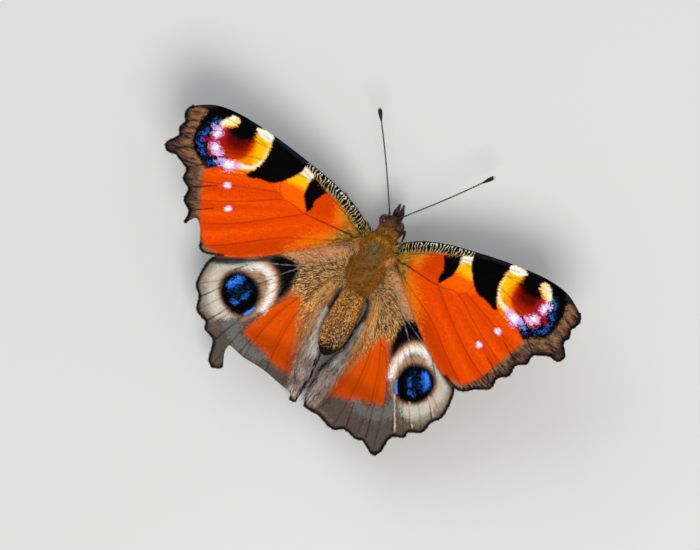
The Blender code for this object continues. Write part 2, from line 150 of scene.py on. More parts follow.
# %% Light
LAMPS = [("key_lamp", (-0.30, 0.22, 0.62), 0.30, 3.3, (1.0, 0.97, 0.92)), ("fill_lamp", (0.45, -0.35, 0.50), 0.60, 1.6, (0.92, 0.96, 1.0))]
for name, spot, size, power, colour in LAMPS:
    bpy.ops.object.light_add(type="AREA", location=spot)
    lamp = bpy.context.object
    lamp.name = name
    lamp.data.size, lamp.data.energy, lamp.data.color = size, power, colour
    lamp.rotation_euler = (-Vector(spot)).to_track_quat("-Z", "Y").to_euler()
surround = bpy.data.worlds.new("studio")
bpy.context.scene.world = surround
surround.use_nodes = True
surround.node_tree.nodes["Background"].inputs["Color"].default_value = (0.93, 0.96, 1.0, 1)
surround.node_tree.nodes["Background"].inputs["Strength"].default_value = 0.42
bpy.context.scene.view_settings.view_transform = "Standard"
print("lamps:", [name for name, *_ in LAMPS])

# %% [markdown]
# ## The wings' plan
# A wing is a stiff, thin sheet held by a fan of veins, and its border runs in scallops from
# one vein's end to the next. The left wings are worn: the border is torn away in places. Each
# border and each vein is a smooth line through a few points of the plan, in (out, ahead).
# They are the lines of the solid model, so the sheet lies inside its wings.

# %% Borders and veins of the forewing
WING_ROOT = 1.5
R4, R5 = (29.75, 5.0), (29.6, 3.2)
FORE_M1, FORE_M2, FORE_M3 = (30.2, 0.3), (27.5, -0.55), (26.1, -2.5)
FORE_CU1, FORE_CU2, TORNUS = (24.75, -4.9), (23.3, -7.5), (20.0, -9.6)
FORE_COSTA = [(WING_ROOT, 2.7), (2.6, 3.6), (5.0, 5.1), (8.5, 6.35), (13.0, 7.3), (18.0, 8.1), (23.0, 8.5), (26.5, 8.1)]
FORE_COSTA += [(29.0, 6.8)]
FORE_TERMEN = [(29.75, 6.0), R4, (29.3, 4.2), R5, (29.25, 2.2), (30.1, 1.0), FORE_M1, (29.6, -0.3), (28.4, -0.15)]
FORE_TERMEN += [FORE_M2, (26.3, -1.2), FORE_M3, (24.85, -3.4), FORE_CU1, (23.5, -5.9), FORE_CU2]
FORE_TORNUS = {RIGHT: [(21.6, -8.5), TORNUS], LEFT: [(22.3, -6.3), (21.4, -6.9), (20.7, -8.2), (19.9, -9.6)]}
FORE_HIND_MARGIN = [(18.3, -9.5), (14.6, -7.9), (10.6, -5.1), (6.5, -1.8), (3.9, 0.3), (WING_ROOT, 1.0)]
FORE_VEINS = [
    [(WING_ROOT, 2.5), (3.0, 2.9), (7.0, 5.2), (11.5, 6.5), (15.0, 7.4)],
    [(WING_ROOT, 2.0), (3.2, 2.3), (6.5, 3.9), (10.5, 5.2), (14.4, 5.2), (18.0, 6.4), (25.5, 7.2), R4],
    [(10.5, 5.2), (15.0, 6.6), (19.5, 7.6)],
    [(18.0, 6.4), (23.0, 5.9), R5],
    [(14.4, 5.2), (19.0, 4.4), (25.0, 2.4), FORE_M1],
    [(14.4, 5.2), (14.9, 3.6), (19.0, 2.2), FORE_M2],
    [(14.9, 3.6), (14.2, 1.9), (13.3, 1.3)],
    [(14.2, 1.9), (17.0, 0.9), (21.5, -0.8), FORE_M3],
    [(WING_ROOT, 1.6), (3.0, 1.5), (6.5, 1.3), (10.2, 1.0), (13.3, 1.3), (17.0, -0.9), (21.0, -3.1), FORE_CU1],
    [(10.2, 1.0), (13.0, -1.2), (18.0, -4.8), FORE_CU2],
    [(WING_ROOT, 1.3), (3.2, 0.9), (7.3, -1.2), (11.5, -3.3), (16.5, -7.0), (19.6, -9.0)],
]

# %% Borders and veins of the hindwing
RS, HIND_M1, HIND_M2 = (18.75, -13.9), (17.2, -16.9), (15.2, -18.65)
TAIL, HIND_CU1, HIND_CU2 = (12.4, -22.6), (9.2, -21.85), (5.6, -22.2)
HIND_COSTA = [(WING_ROOT, -0.6), (3.2, -0.1), (5.0, -0.5), (7.0, -1.6), (12.0, -4.1), (16.0, -7.0), (18.2, -9.4)]
HIND_TERMEN = [(18.85, -11.4), RS, (17.75, -15.2), HIND_M1, (15.5, -17.7), HIND_M2, (13.7, -19.3), (13.3, -20.6)]
HIND_TAIL = {
    RIGHT: [(13.2, -21.8), TAIL, (11.1, -22.0)],
    LEFT: [(13.0, -21.9), (12.2, -22.6), (11.1, -21.9), (11.6, -20.2), (11.5, -19.0)],
}
HIND_BORDER = {
    RIGHT: [(10.2, -21.6), HIND_CU1, (7.3, -21.45), HIND_CU2, (3.2, -21.5), (0.8, -21.4), (0.25, -20.8), (0.05, -18.5)]
    + [(0.2, -16.0)],
    LEFT: [(9.2, -19.5), (6.3, -19.7), (3.6, -20.3), (2.0, -20.7), (1.5, -21.5), (0.8, -21.3), (0.6, -19.5)]
    + [(0.5, -17.5), (0.5, -15.8)],
}
HIND_INNER_MARGIN = [(0.8, -13.8), (1.15, -12.0), (1.3, -10.0), (1.8, -8.4), (2.1, -6.8), (2.1, -5.6), (WING_ROOT, -4.6)]
HIND_VEINS = [
    [(WING_ROOT, -2.4), (3.2, -2.7), (6.3, -3.9), (8.2, -5.2), (12.0, -6.8), (18.2, -9.9)],
    [(WING_ROOT, -3.0), (3.2, -3.3), (5.8, -4.6), (8.2, -6.3), (12.0, -9.4), (15.6, -11.6), RS],
    [(8.2, -6.3), (9.4, -8.3), (14.2, -12.9), HIND_M1],
    [(9.4, -8.3), (9.6, -10.0), (12.8, -14.4), HIND_M2],
    [(WING_ROOT, -3.7), (3.2, -4.2), (4.6, -6.8), (6.4, -9.2), (7.6, -10.0), (10.4, -15.0), TAIL],
    [(6.4, -9.2), (8.0, -13.0), (9.0, -17.5), HIND_CU1],
    [(4.6, -6.8), (5.7, -11.5), (6.0, -17.0), HIND_CU2],
    [(WING_ROOT, -4.1), (3.1, -5.1), (3.7, -9.0), (3.2, -14.5), (1.5, -21.0)],
]


# %% Lines in the plan
def smooth_line(points, spacing, closed=False):
    """Points along a smooth line through the given ones, which it keeps."""
    points = np.asarray(points, float)
    if closed:
        ends = np.vstack((points[-1], points, points[:2]))
    else:
        ends = np.vstack((2 * points[0] - points[1], points, 2 * points[-1] - points[-2]))
    path = [points[:1]]
    for before, start, stop, after in zip(ends, ends[1:], ends[2:], ends[3:]):
        steps = max(1, round(np.linalg.norm(stop - start) / spacing))
        t = np.arange(1, steps + 1)[:, None] / steps
        bend = (2 * before - 5 * start + 4 * stop - after) * t**2 + (3 * start - before - 3 * stop + after) * t**3
        path.append(0.5 * (2 * start + (stop - before) * t + bend))
    return np.vstack(path)


def line_distance(spots, path):
    """How far each spot is from a line, and how far along the line that is."""
    nearest, run, done = np.full(len(spots), 1e9), np.zeros(len(spots)), 0.0
    for start, stop in zip(path, path[1:]):
        along = stop - start
        length = max(np.linalg.norm(along), 1e-9)
        share = np.clip((spots - start) @ along / length**2, 0, 1)
        distance = np.linalg.norm(spots - start - share[:, None] * along, axis=1)
        closer = distance < nearest
        nearest[closer] = distance[closer]
        run[closer] = done + share[closer] * length
        done += length
    return nearest, run


def inside(spots, rim):
    crossings = np.zeros(len(spots), int)
    for start, stop in zip(rim, np.roll(rim, -1, axis=0)):
        if start[1] != stop[1]:
            spans = (start[1] > spots[:, 1]) != (stop[1] > spots[:, 1])
            at = start[0] + (spots[:, 1] - start[1]) / (stop[1] - start[1]) * (stop[0] - start[0])
            crossings += spans & (spots[:, 0] < at)
    return crossings % 2 == 1


RIM_SPACING = 0.14
RIMS, COSTAS = {}, {"fore": smooth_line(FORE_COSTA, 0.3), "hind": smooth_line(HIND_COSTA, 0.3)}
for side, _ in SIDES:
    fore = FORE_COSTA + FORE_TERMEN + FORE_TORNUS[side] + FORE_HIND_MARGIN
    hind = HIND_COSTA + HIND_TERMEN + HIND_TAIL[side] + HIND_BORDER[side] + HIND_INNER_MARGIN
    RIMS["fore", side] = smooth_line(fore, RIM_SPACING)
    RIMS["hind", side] = smooth_line(hind, RIM_SPACING)
print("border points:", {name: len(rim) for name, rim in RIMS.items()})

# %% [markdown]
# The forewings rise towards their tips, and the hindwings lie lower and dip beside the
# abdomen, where their inner edges form a gutter. On top of that come the relief that the light
# picks out: veins stand up as fine ribs, and the sheet between two of them sags a little.


# %% Heights
def rise(values, low, high):
    """0 below low, 1 above high, and a smooth rise between."""
    share = np.clip((values - low) / (high - low), 0, 1)
    return share * share * (3 - 2 * share)


def forewing_height(out, ahead):
    reach = out - 2.4
    return -1.3 + 0.40 * reach - 0.0055 * reach**2 + 0.07 * ahead


FOLD_DEPTH = 2.6


def hindwing_height(out, ahead):
    plane = -2.2 + 0.26 * (out - 2.4) + 0.14 * (ahead + 3.5)
    fold = (1 - rise(out, 1.2, 3.6)) * (0.2 + 0.8 * rise(ahead, -16.0, -11.5)) * rise(-ahead, 4.8, 7.2)
    return plane - FOLD_DEPTH * fold


RIB_HEIGHT, RIB_WIDTH, SAG, SAG_REACH = 0.07, 0.12, 0.07, 0.8


def relief(vein_gap, rim_gap):
    """Ribs over the veins and hollows between them, both fading at the border."""
    rib = RIB_HEIGHT * np.exp(-((vein_gap / RIB_WIDTH) ** 2))
    hollow = SAG * (1 - np.exp(-((vein_gap / SAG_REACH) ** 2)))
    return (rib - hollow) * rise(rim_gap, -0.1, 0.7)


WINGS = {
    "fore": {"veins": FORE_VEINS, "height": forewing_height, "slot": "forewing"},
    "hind": {"veins": HIND_VEINS, "height": hindwing_height, "slot": "hindwing"},
}
print("wing tip stands", round(BACK_HEIGHT + float(forewing_height(30.0, 1.0)), 1), "mm above the floor")

# %% [markdown]
# ## The markings
# The pattern is a mosaic of tiny scales, each of one colour, so a border between two colours is
# a ragged line of scales, and a dusting is a share of scales of another colour. A picture could
# be wrapped on the wing, but here every marking is a shape of its own, as in a paint-by-numbers
# plan: its outline is drawn in the plan, and each point of the sheet learns how deep inside it
# lies, in millimetres. A material then compares that depth with a number drawn per scale.
#
# A marking is (name, colour, softness, scatter, strength, shape). Softness blurs its edge and
# scatter throws single scales over it, both in millimetres.


# %% Shapes of markings
def patch(*corners):
    return ("patch", smooth_line(corners, 0.15, closed=True))


def line(start_width, end_width, *lines):
    """Tapering strokes, from a half width at their start to one at their end."""
    return ("line", start_width, end_width, [smooth_line(points, 0.3) for points in lines])


def depth_inside(spots, shape):
    """How deep each spot lies inside a shape. It is negative outside."""
    if shape[0] == "patch":
        rim = shape[1]
        gap, _ = line_distance(spots, rim)
        return np.where(inside(spots, rim), gap, -gap)
    _, start_width, end_width, paths = shape
    deepest = np.full(len(spots), -1e9)
    for path in paths:
        gap, run = line_distance(spots, path)
        share = run / np.linalg.norm(np.diff(path, axis=0), axis=1).sum()
        deepest = np.maximum(deepest, start_width + (end_width - start_width) * share - gap)
    return deepest


# %% Colours of the scales
BLACK, SHADOW_BROWN, UMBER = (4, 3, 4), (34, 27, 24), (58, 41, 31)
BRICK, BRIGHT, FOLD_SHADE_RED = (229, 70, 0), (252, 96, 2), (190, 46, 0)
YELLOW, AMBER, CREAM = (254, 190, 10), (250, 138, 0), (252, 238, 206)
LILAC, SNOW, ROSE = (228, 180, 238), (248, 248, 255), (206, 96, 160)
GOLD, OLIVE, TAN = (184, 126, 34), (118, 98, 50), (176, 126, 78)
ASH, PEARL = (86, 75, 67), (196, 188, 172)

# %% Markings of the forewing
FORE_FIELDS = [
    ("glow", BRIGHT, 0.5, 0.3, 1.0, patch((10.2, 1.5), (11.0, 3.0), (11.4, 4.3), (13.8, 4.3), (15.3, 2.8), (14.2, 1.9), (13.2, 1.4), (11.8, 1.3))),
    ("cell_shade", (207, 58, 0), 0.5, 0.3, 0.85, patch((6.4, 2.4), (7.2, 3.9), (8.8, 4.9), (9.9, 3.0), (9.9, 1.7), (8.0, 1.8))),
    # Painted shade and painted light of the pleats: each fold gets a darker red side and a brighter orange side, as the
    # light falls across it.
    ("folds", FOLD_SHADE_RED, 0.46, 0.2, 0.45, line(0.0, 0.34, [(10.3, 0.7), (13.0, -1.5), (18.0, -5.15), (21.8, -7.3)], [(13.4, 1.9), (17.0, 0.4), (21.0, -1.4), (23.4, -2.4)], [(14.0, -0.1), (18.5, -2.6), (22.4, -4.4)], [(8.0, -1.8), (11.5, -3.9), (16.4, -7.3), (18.6, -8.7)])),
    ("ridges", BRIGHT, 0.46, 0.2, 0.42, line(0.0, 0.30, [(9.4, -0.2), (12.5, -2.4), (17.5, -6.0), (20.8, -8.0)], [(12.6, 1.0), (16.3, -0.8), (20.6, -2.6), (22.8, -3.5)], [(13.0, -0.4), (17.5, -3.2), (21.8, -5.2)], [(15.5, 2.0), (19.0, 1.3), (23.5, -0.2)])),
    ("hind_shade", (190, 56, 0), 0.8, 0.5, 0.75, patch((8.6, -2.4), (12.0, -4.0), (16.0, -6.9), (18.5, -8.4), (17.0, -9.0), (13.0, -6.8), (9.0, -4.2))),
    ("root_orange", (240, 116, 6), 1.0, 1.6, 0.9, patch((4.6, 0.9), (6.2, 0.7), (8.2, -0.9), (9.6, -2.9), (10.2, -4.7), (8.2, -3.7), (6.0, -2.0), (4.2, -0.6))),
    ("cell_orange", (240, 124, 14), 0.8, 1.6, 0.9, patch((5.3, 2.0), (6.0, 1.9), (6.5, 2.5), (6.7, 3.8), (5.8, 3.5), (5.3, 2.8))),
    ("base_gold", GOLD, 0.6, 1.8, 0.85, patch((1.0, 3.2), (3.0, 3.6), (5.2, 3.6), (6.6, 4.2), (5.9, 3.1), (4.8, 2.2), (5.3, 1.5), (5.6, 0.6), (6.2, -0.8), (7.4, -2.6), (6.2, -2.4), (4.6, -1.0), (3.0, 0.2), (1.0, 0.6))),
    ("base_dusk", OLIVE, 0.6, 1.6, 0.85, patch((1.0, 3.0), (3.0, 2.5), (4.0, 1.8), (4.8, 1.1), (5.4, 0.0), (5.0, -0.9), (3.4, 0.0), (1.2, 0.6))),
    ("root_tuft", (214, 150, 60), 0.3, 1.0, 0.55, line(0.34, 0.2, [(2.0, 2.6), (3.0, 2.2)])),
    ("hind_hair", (212, 118, 62), 0.25, 0.8, 0.75, line(0.55, 0.10, [(3.4, 0.2), (6.5, -2.2), (10.6, -5.3), (14.4, -8.0)])),
    ("main_vein", (66, 24, 10), 0.08, 0.1, 0.85, line(0.10, 0.03, [(3.0, 1.5), (5.0, 1.38), (8.0, 1.12), (10.2, 1.10)], [(3.2, 1.05), (4.4, 0.1), (5.8, -1.0)])),
    ("yellow_bar", YELLOW, 0.60, 0.3, 1.0, patch((11.0, 5.6), (13.2, 6.1), (13.7, 5.0), (14.5, 4.0), (13.6, 3.75), (12.4, 3.85), (11.1, 4.1))),
    ("cell_patch", BLACK, 0.12, 0.25, 1.0, patch((8.9, 4.85), (9.6, 5.35), (10.4, 5.65), (11.45, 6.05), (11.52, 5.0), (11.47, 4.0), (11.35, 3.1), (10.9, 2.4), (10.45, 1.75), (10.05, 1.35), (9.75, 1.9), (9.72, 2.5), (9.85, 3.0), (9.55, 3.7), (9.3, 4.3))),
    ("cream_bar", (254, 241, 208), 0.25, 0.3, 1.0, patch((11.35, 6.0), (11.6, 6.6), (12.4, 7.5), (13.2, 7.4), (13.3, 6.0), (13.2, 5.5), (12.3, 5.4), (11.6, 5.0), (11.5, 5.2))),
    ("great_patch", BLACK, 0.12, 0.25, 1.0, patch((12.95, 7.7), (12.85, 6.3), (13.08, 5.4), (13.7, 4.5), (14.3, 3.7), (14.9, 3.05), (15.6, 2.55), (16.6, 2.35), (17.6, 2.15), (18.4, 1.75), (19.0, 1.85), (19.4, 2.2), (19.0, 3.2), (18.6, 4.2), (18.5, 5.8), (18.9, 7.0), (18.6, 8.3), (15.5, 8.1))),
    ("dark_costa", BLACK, 0.10, 0.2, 1.0, patch((12.9, 7.15), (17.0, 7.75), (20.4, 8.1), (21.0, 7.6), (23.5, 8.0), (24.6, 7.1), (25.1, 6.2), (27.0, 7.2), (28.2, 7.9), (26.0, 9.0), (20.0, 9.0), (13.0, 7.9))),
    ("costa_sheen", (30, 36, 44), 0.15, 0.3, 0.8, line(0.20, 0.12, [(13.2, 7.0), (15.5, 7.45), (18.0, 7.8)], [(21.0, 8.2), (24.5, 8.3), (27.5, 7.9)])),
    ("eye_ground", BLACK, 0.12, 0.25, 1.0, patch((18.6, 6.6), (20.2, 8.0), (24.5, 8.6), (27.8, 8.6), (30.5, 7.6), (30.5, 5.6), (29.4, 6.4), (28.2, 6.85), (28.2, 5.6), (28.3, 4.0), (27.9, 2.4), (27.0, 1.2), (25.6, 0.25), (24.3, 0.0), (23.4, 0.6), (22.6, 1.2), (20.8, 2.0), (19.3, 2.6))),
    ("ring_amber", AMBER, 0.14, 0.25, 1.0, patch((18.2, 7.3), (17.92, 6.2), (17.92, 5.0), (18.1, 4.0), (18.4, 3.1), (18.85, 2.3), (19.5, 1.8), (20.4, 1.45), (21.4, 1.3), (22.2, 2.4), (21.2, 3.1), (20.6, 4.0), (20.5, 5.2), (20.6, 6.3), (20.7, 7.2), (20.0, 7.6))),
    ("ring_yellow", YELLOW, 0.32, 0.25, 1.0, patch((18.2, 7.2), (17.94, 6.1), (17.95, 5.0), (18.1, 4.2), (18.55, 3.5), (19.05, 3.4), (19.3, 4.4), (19.4, 5.4), (19.7, 6.2), (20.45, 6.9), (19.6, 7.4))),
    ("ring_light", (253, 222, 140), 0.22, 0.25, 0.9, line(0.14, 0.14, [(18.15, 6.6), (18.0, 5.6), (18.05, 4.6)])),
    ("ring_edge", CREAM, 0.16, 0.25, 0.95, line(0.08, 0.36, [(18.04, 4.8), (18.3, 3.9), (18.85, 3.1), (19.6, 2.7), (20.4, 2.45)])),
    ("eye_core", (198, 46, 0), 0.34, 0.4, 1.0, patch((20.15, 6.5), (19.95, 5.2), (20.1, 4.0), (20.7, 3.2), (21.8, 2.75), (23.4, 2.4), (24.3, 2.0), (24.9, 2.3), (25.25, 3.2), (25.2, 4.3), (24.7, 5.3), (24.1, 6.3), (22.6, 6.6), (21.2, 6.8))),
    ("eye_red", (150, 24, 0), 0.50, 0.5, 0.95, patch((20.6, 6.6), (20.35, 5.2), (20.8, 4.0), (21.8, 3.5), (23.2, 3.4), (24.2, 3.7), (24.2, 5.4), (23.8, 6.4))),
    ("eye_heart", (84, 8, 3), 0.50, 0.6, 0.95, patch((20.9, 6.2), (20.8, 5.0), (21.3, 4.4), (22.2, 4.2), (23.2, 4.4), (23.7, 5.2), (23.2, 6.2))),
    ("eye_brow", BLACK, 0.36, 0.7, 1.0, patch((20.4, 7.6), (20.35, 6.7), (20.6, 6.0), (21.5, 5.6), (22.6, 5.45), (23.6, 5.7), (23.9, 6.0), (23.7, 6.5), (23.2, 7.0), (22.7, 7.9), (21.4, 8.1))),
    ("eye_rose", (156, 16, 44), 0.25, 0.4, 0.85, line(0.32, 0.26, [(23.8, 5.4), (24.1, 4.4), (25.2, 3.8), (26.0, 3.4)])),
    ("eye_cream", (253, 246, 226), 0.14, 0.25, 1.0, patch((18.1, 7.3), (18.12, 7.85), (18.6, 8.2), (19.8, 8.2), (20.6, 7.9), (20.3, 7.5), (19.6, 7.15), (18.6, 7.05))),
    ("spark_amber", (240, 150, 40), 0.16, 0.3, 1.0, line(0.18, 0.14, [(23.1, 7.0), (23.9, 6.35), (24.6, 5.95)])),
    ("eye_spark", (251, 218, 138), 0.14, 0.25, 1.0, patch((22.85, 7.55), (23.3, 7.95), (24.1, 7.85), (24.75, 7.1), (25.2, 6.4), (24.95, 6.0), (24.3, 6.2), (23.6, 6.6), (23.05, 7.1))),
    ("spark_light", (254, 244, 220), 0.28, 0.3, 0.95, line(0.32, 0.20, [(23.9, 7.45), (24.5, 6.85), (24.98, 6.25)])),
    ("blue_haze", (14, 30, 60), 0.30, 1.4, 0.7, line(0.20, 0.16, [(25.7, 6.2), (26.4, 4.8), (26.6, 3.4), (26.2, 2.2), (25.2, 1.6)], [(24.4, 0.9), (23.2, 1.2)])),
    ("sky_dust", (34, 114, 176), 0.18, 1.2, 0.6, line(0.14, 0.06, [(25.3, 6.5), (25.9, 6.0), (26.1, 5.4)])),
    ("blue_dust", (36, 92, 190), 0.14, 1.2, 0.9, line(0.14, 0.12, [(26.1, 4.6), (26.5, 3.7), (26.4, 3.1)], [(26.3, 2.5), (25.8, 2.0), (25.4, 1.8)], [(23.9, 1.0), (23.3, 1.3)])),
    ("rose_dust", ROSE, 0.26, 0.7, 0.85, line(0.54, 0.50, [(24.8, 5.1), (24.95, 4.5)], [(24.5, 3.15), (23.6, 2.85)], [(22.7, 1.85), (21.0, 2.1)])),
    ("lilac_dust", (222, 176, 236), 0.22, 0.8, 1.0, patch((24.35, 4.9), (24.6, 5.6), (25.1, 5.85), (25.7, 5.65), (25.75, 5.2), (25.35, 4.8), (25.1, 4.25), (24.65, 4.25))),
    ("lilac_low", (222, 176, 236), 0.22, 0.8, 1.0, patch((23.0, 2.75), (23.6, 3.35), (24.2, 3.65), (24.85, 3.6), (25.1, 3.1), (24.6, 2.75), (24.25, 2.2), (23.7, 2.3))),
    ("lilac_long", (222, 176, 236), 0.22, 0.8, 1.0, patch((20.1, 2.4), (20.6, 2.65), (21.6, 2.55), (22.6, 2.35), (23.2, 1.95), (23.0, 1.55), (22.4, 1.25), (22.1, 1.0), (21.5, 1.1), (20.9, 1.7))),
    ("snow", SNOW, 0.34, 0.3, 1.0, patch((24.45, 5.0), (24.7, 5.45), (25.15, 5.1), (24.95, 4.5))),
    ("snow_low", SNOW, 0.34, 0.3, 1.0, patch((23.75, 2.9), (24.1, 3.35), (24.6, 3.2), (24.3, 2.7))),
    ("snow_long", SNOW, 0.34, 0.3, 1.0, patch((21.0, 2.1), (21.6, 2.4), (22.3, 2.15), (22.4, 1.7), (21.9, 1.5), (21.3, 1.7))),
    ("lilac_blue", (132, 156, 224), 0.26, 0.5, 0.85, line(0.24, 0.14, [(22.5, 1.8), (23.5, 1.45)])),
    ("dots_halo", LILAC, 0.12, 0.2, 0.9, line(0.38, 0.38, [(20.45, -0.45), (20.8, -0.58)], [(19.05, -3.15), (19.25, -3.28)])),
    ("dots", SNOW, 0.14, 0.2, 1.0, line(0.24, 0.24, [(20.45, -0.45), (20.75, -0.55)], [(19.05, -3.15), (19.22, -3.27)])),
    ("border", (92, 67, 52), 0.22, 0.5, 1.0, patch((27.5, 6.95), (27.65, 5.6), (27.6, 4.0), (27.35, 2.6), (26.7, 1.6), (25.8, 0.95), (25.0, 0.4), (24.2, -0.5), (23.8, -1.6), (23.2, -3.0), (22.6, -4.4), (22.1, -5.6), (21.4, -6.9), (20.5, -8.1), (19.6, -8.9), (18.2, -9.3), (18.2, -11.5), (26.0, -12.0), (34.0, -2.0), (32.0, 5.0), (31.0, 7.0), (29.0, 7.4))),
    ("border_ochre", (166, 112, 70), 0.40, 0.5, 0.75, line(0.24, 0.10, [(27.7, 6.55), (29.0, 6.0)], [(27.9, 5.7), (28.9, 5.2)], [(27.9, 4.7), (28.8, 4.2)], [(27.9, 3.6), (28.7, 3.2)], [(27.6, 2.2), (28.3, 1.6)], [(26.6, 1.0), (27.3, 0.5)], [(24.7, 0.1), (26.0, 0.75)], [(24.4, -0.3), (24.1, -1.7)], [(23.5, -2.7), (23.0, -4.1)], [(22.6, -5.1), (22.3, -5.8)])),
    ("border_grey", (50, 40, 38), 0.50, 0.6, 0.9, line(0.50, 0.42, [(29.9, 5.4), (29.5, 4.2), (29.3, 2.2), (29.6, 0.6), (28.4, -0.1), (26.6, -0.9), (26.0, -2.3), (25.0, -3.3), (24.5, -4.6), (23.6, -5.5), (23.1, -7.0)])),
    ("apex_dark", (38, 27, 28), 0.20, 0.5, 0.95, patch((26.2, 9.4), (26.8, 7.6), (27.5, 7.1), (28.5, 6.8), (29.3, 6.4), (29.9, 5.7), (31.6, 5.4), (31.6, 9.4))),
    ("border_streaks", (30, 22, 20), 0.08, 0.15, 0.9, line(0.05, 0.14, [(24.2, 0.7), (26.3, -0.9)], [(21.8, -1.2), (25.0, -3.25)], [(20.9, -4.1), (23.5, -5.8)], [(27.5, 3.5), (29.2, 2.5)], [(27.7, 5.25), (29.3, 4.4)], [(27.3, 1.5), (29.0, 0.4)], [(22.0, -6.0), (22.8, -7.2)], [(27.9, 6.35), (29.4, 5.7)])),
    ("tornus_grey", (150, 116, 84), 0.22, 0.5, 0.85, line(0.16, 0.34, [(14.5, -8.2), (17.0, -9.2), (19.6, -9.35)])),
]
print("forewing markings:", len(FORE_FIELDS))

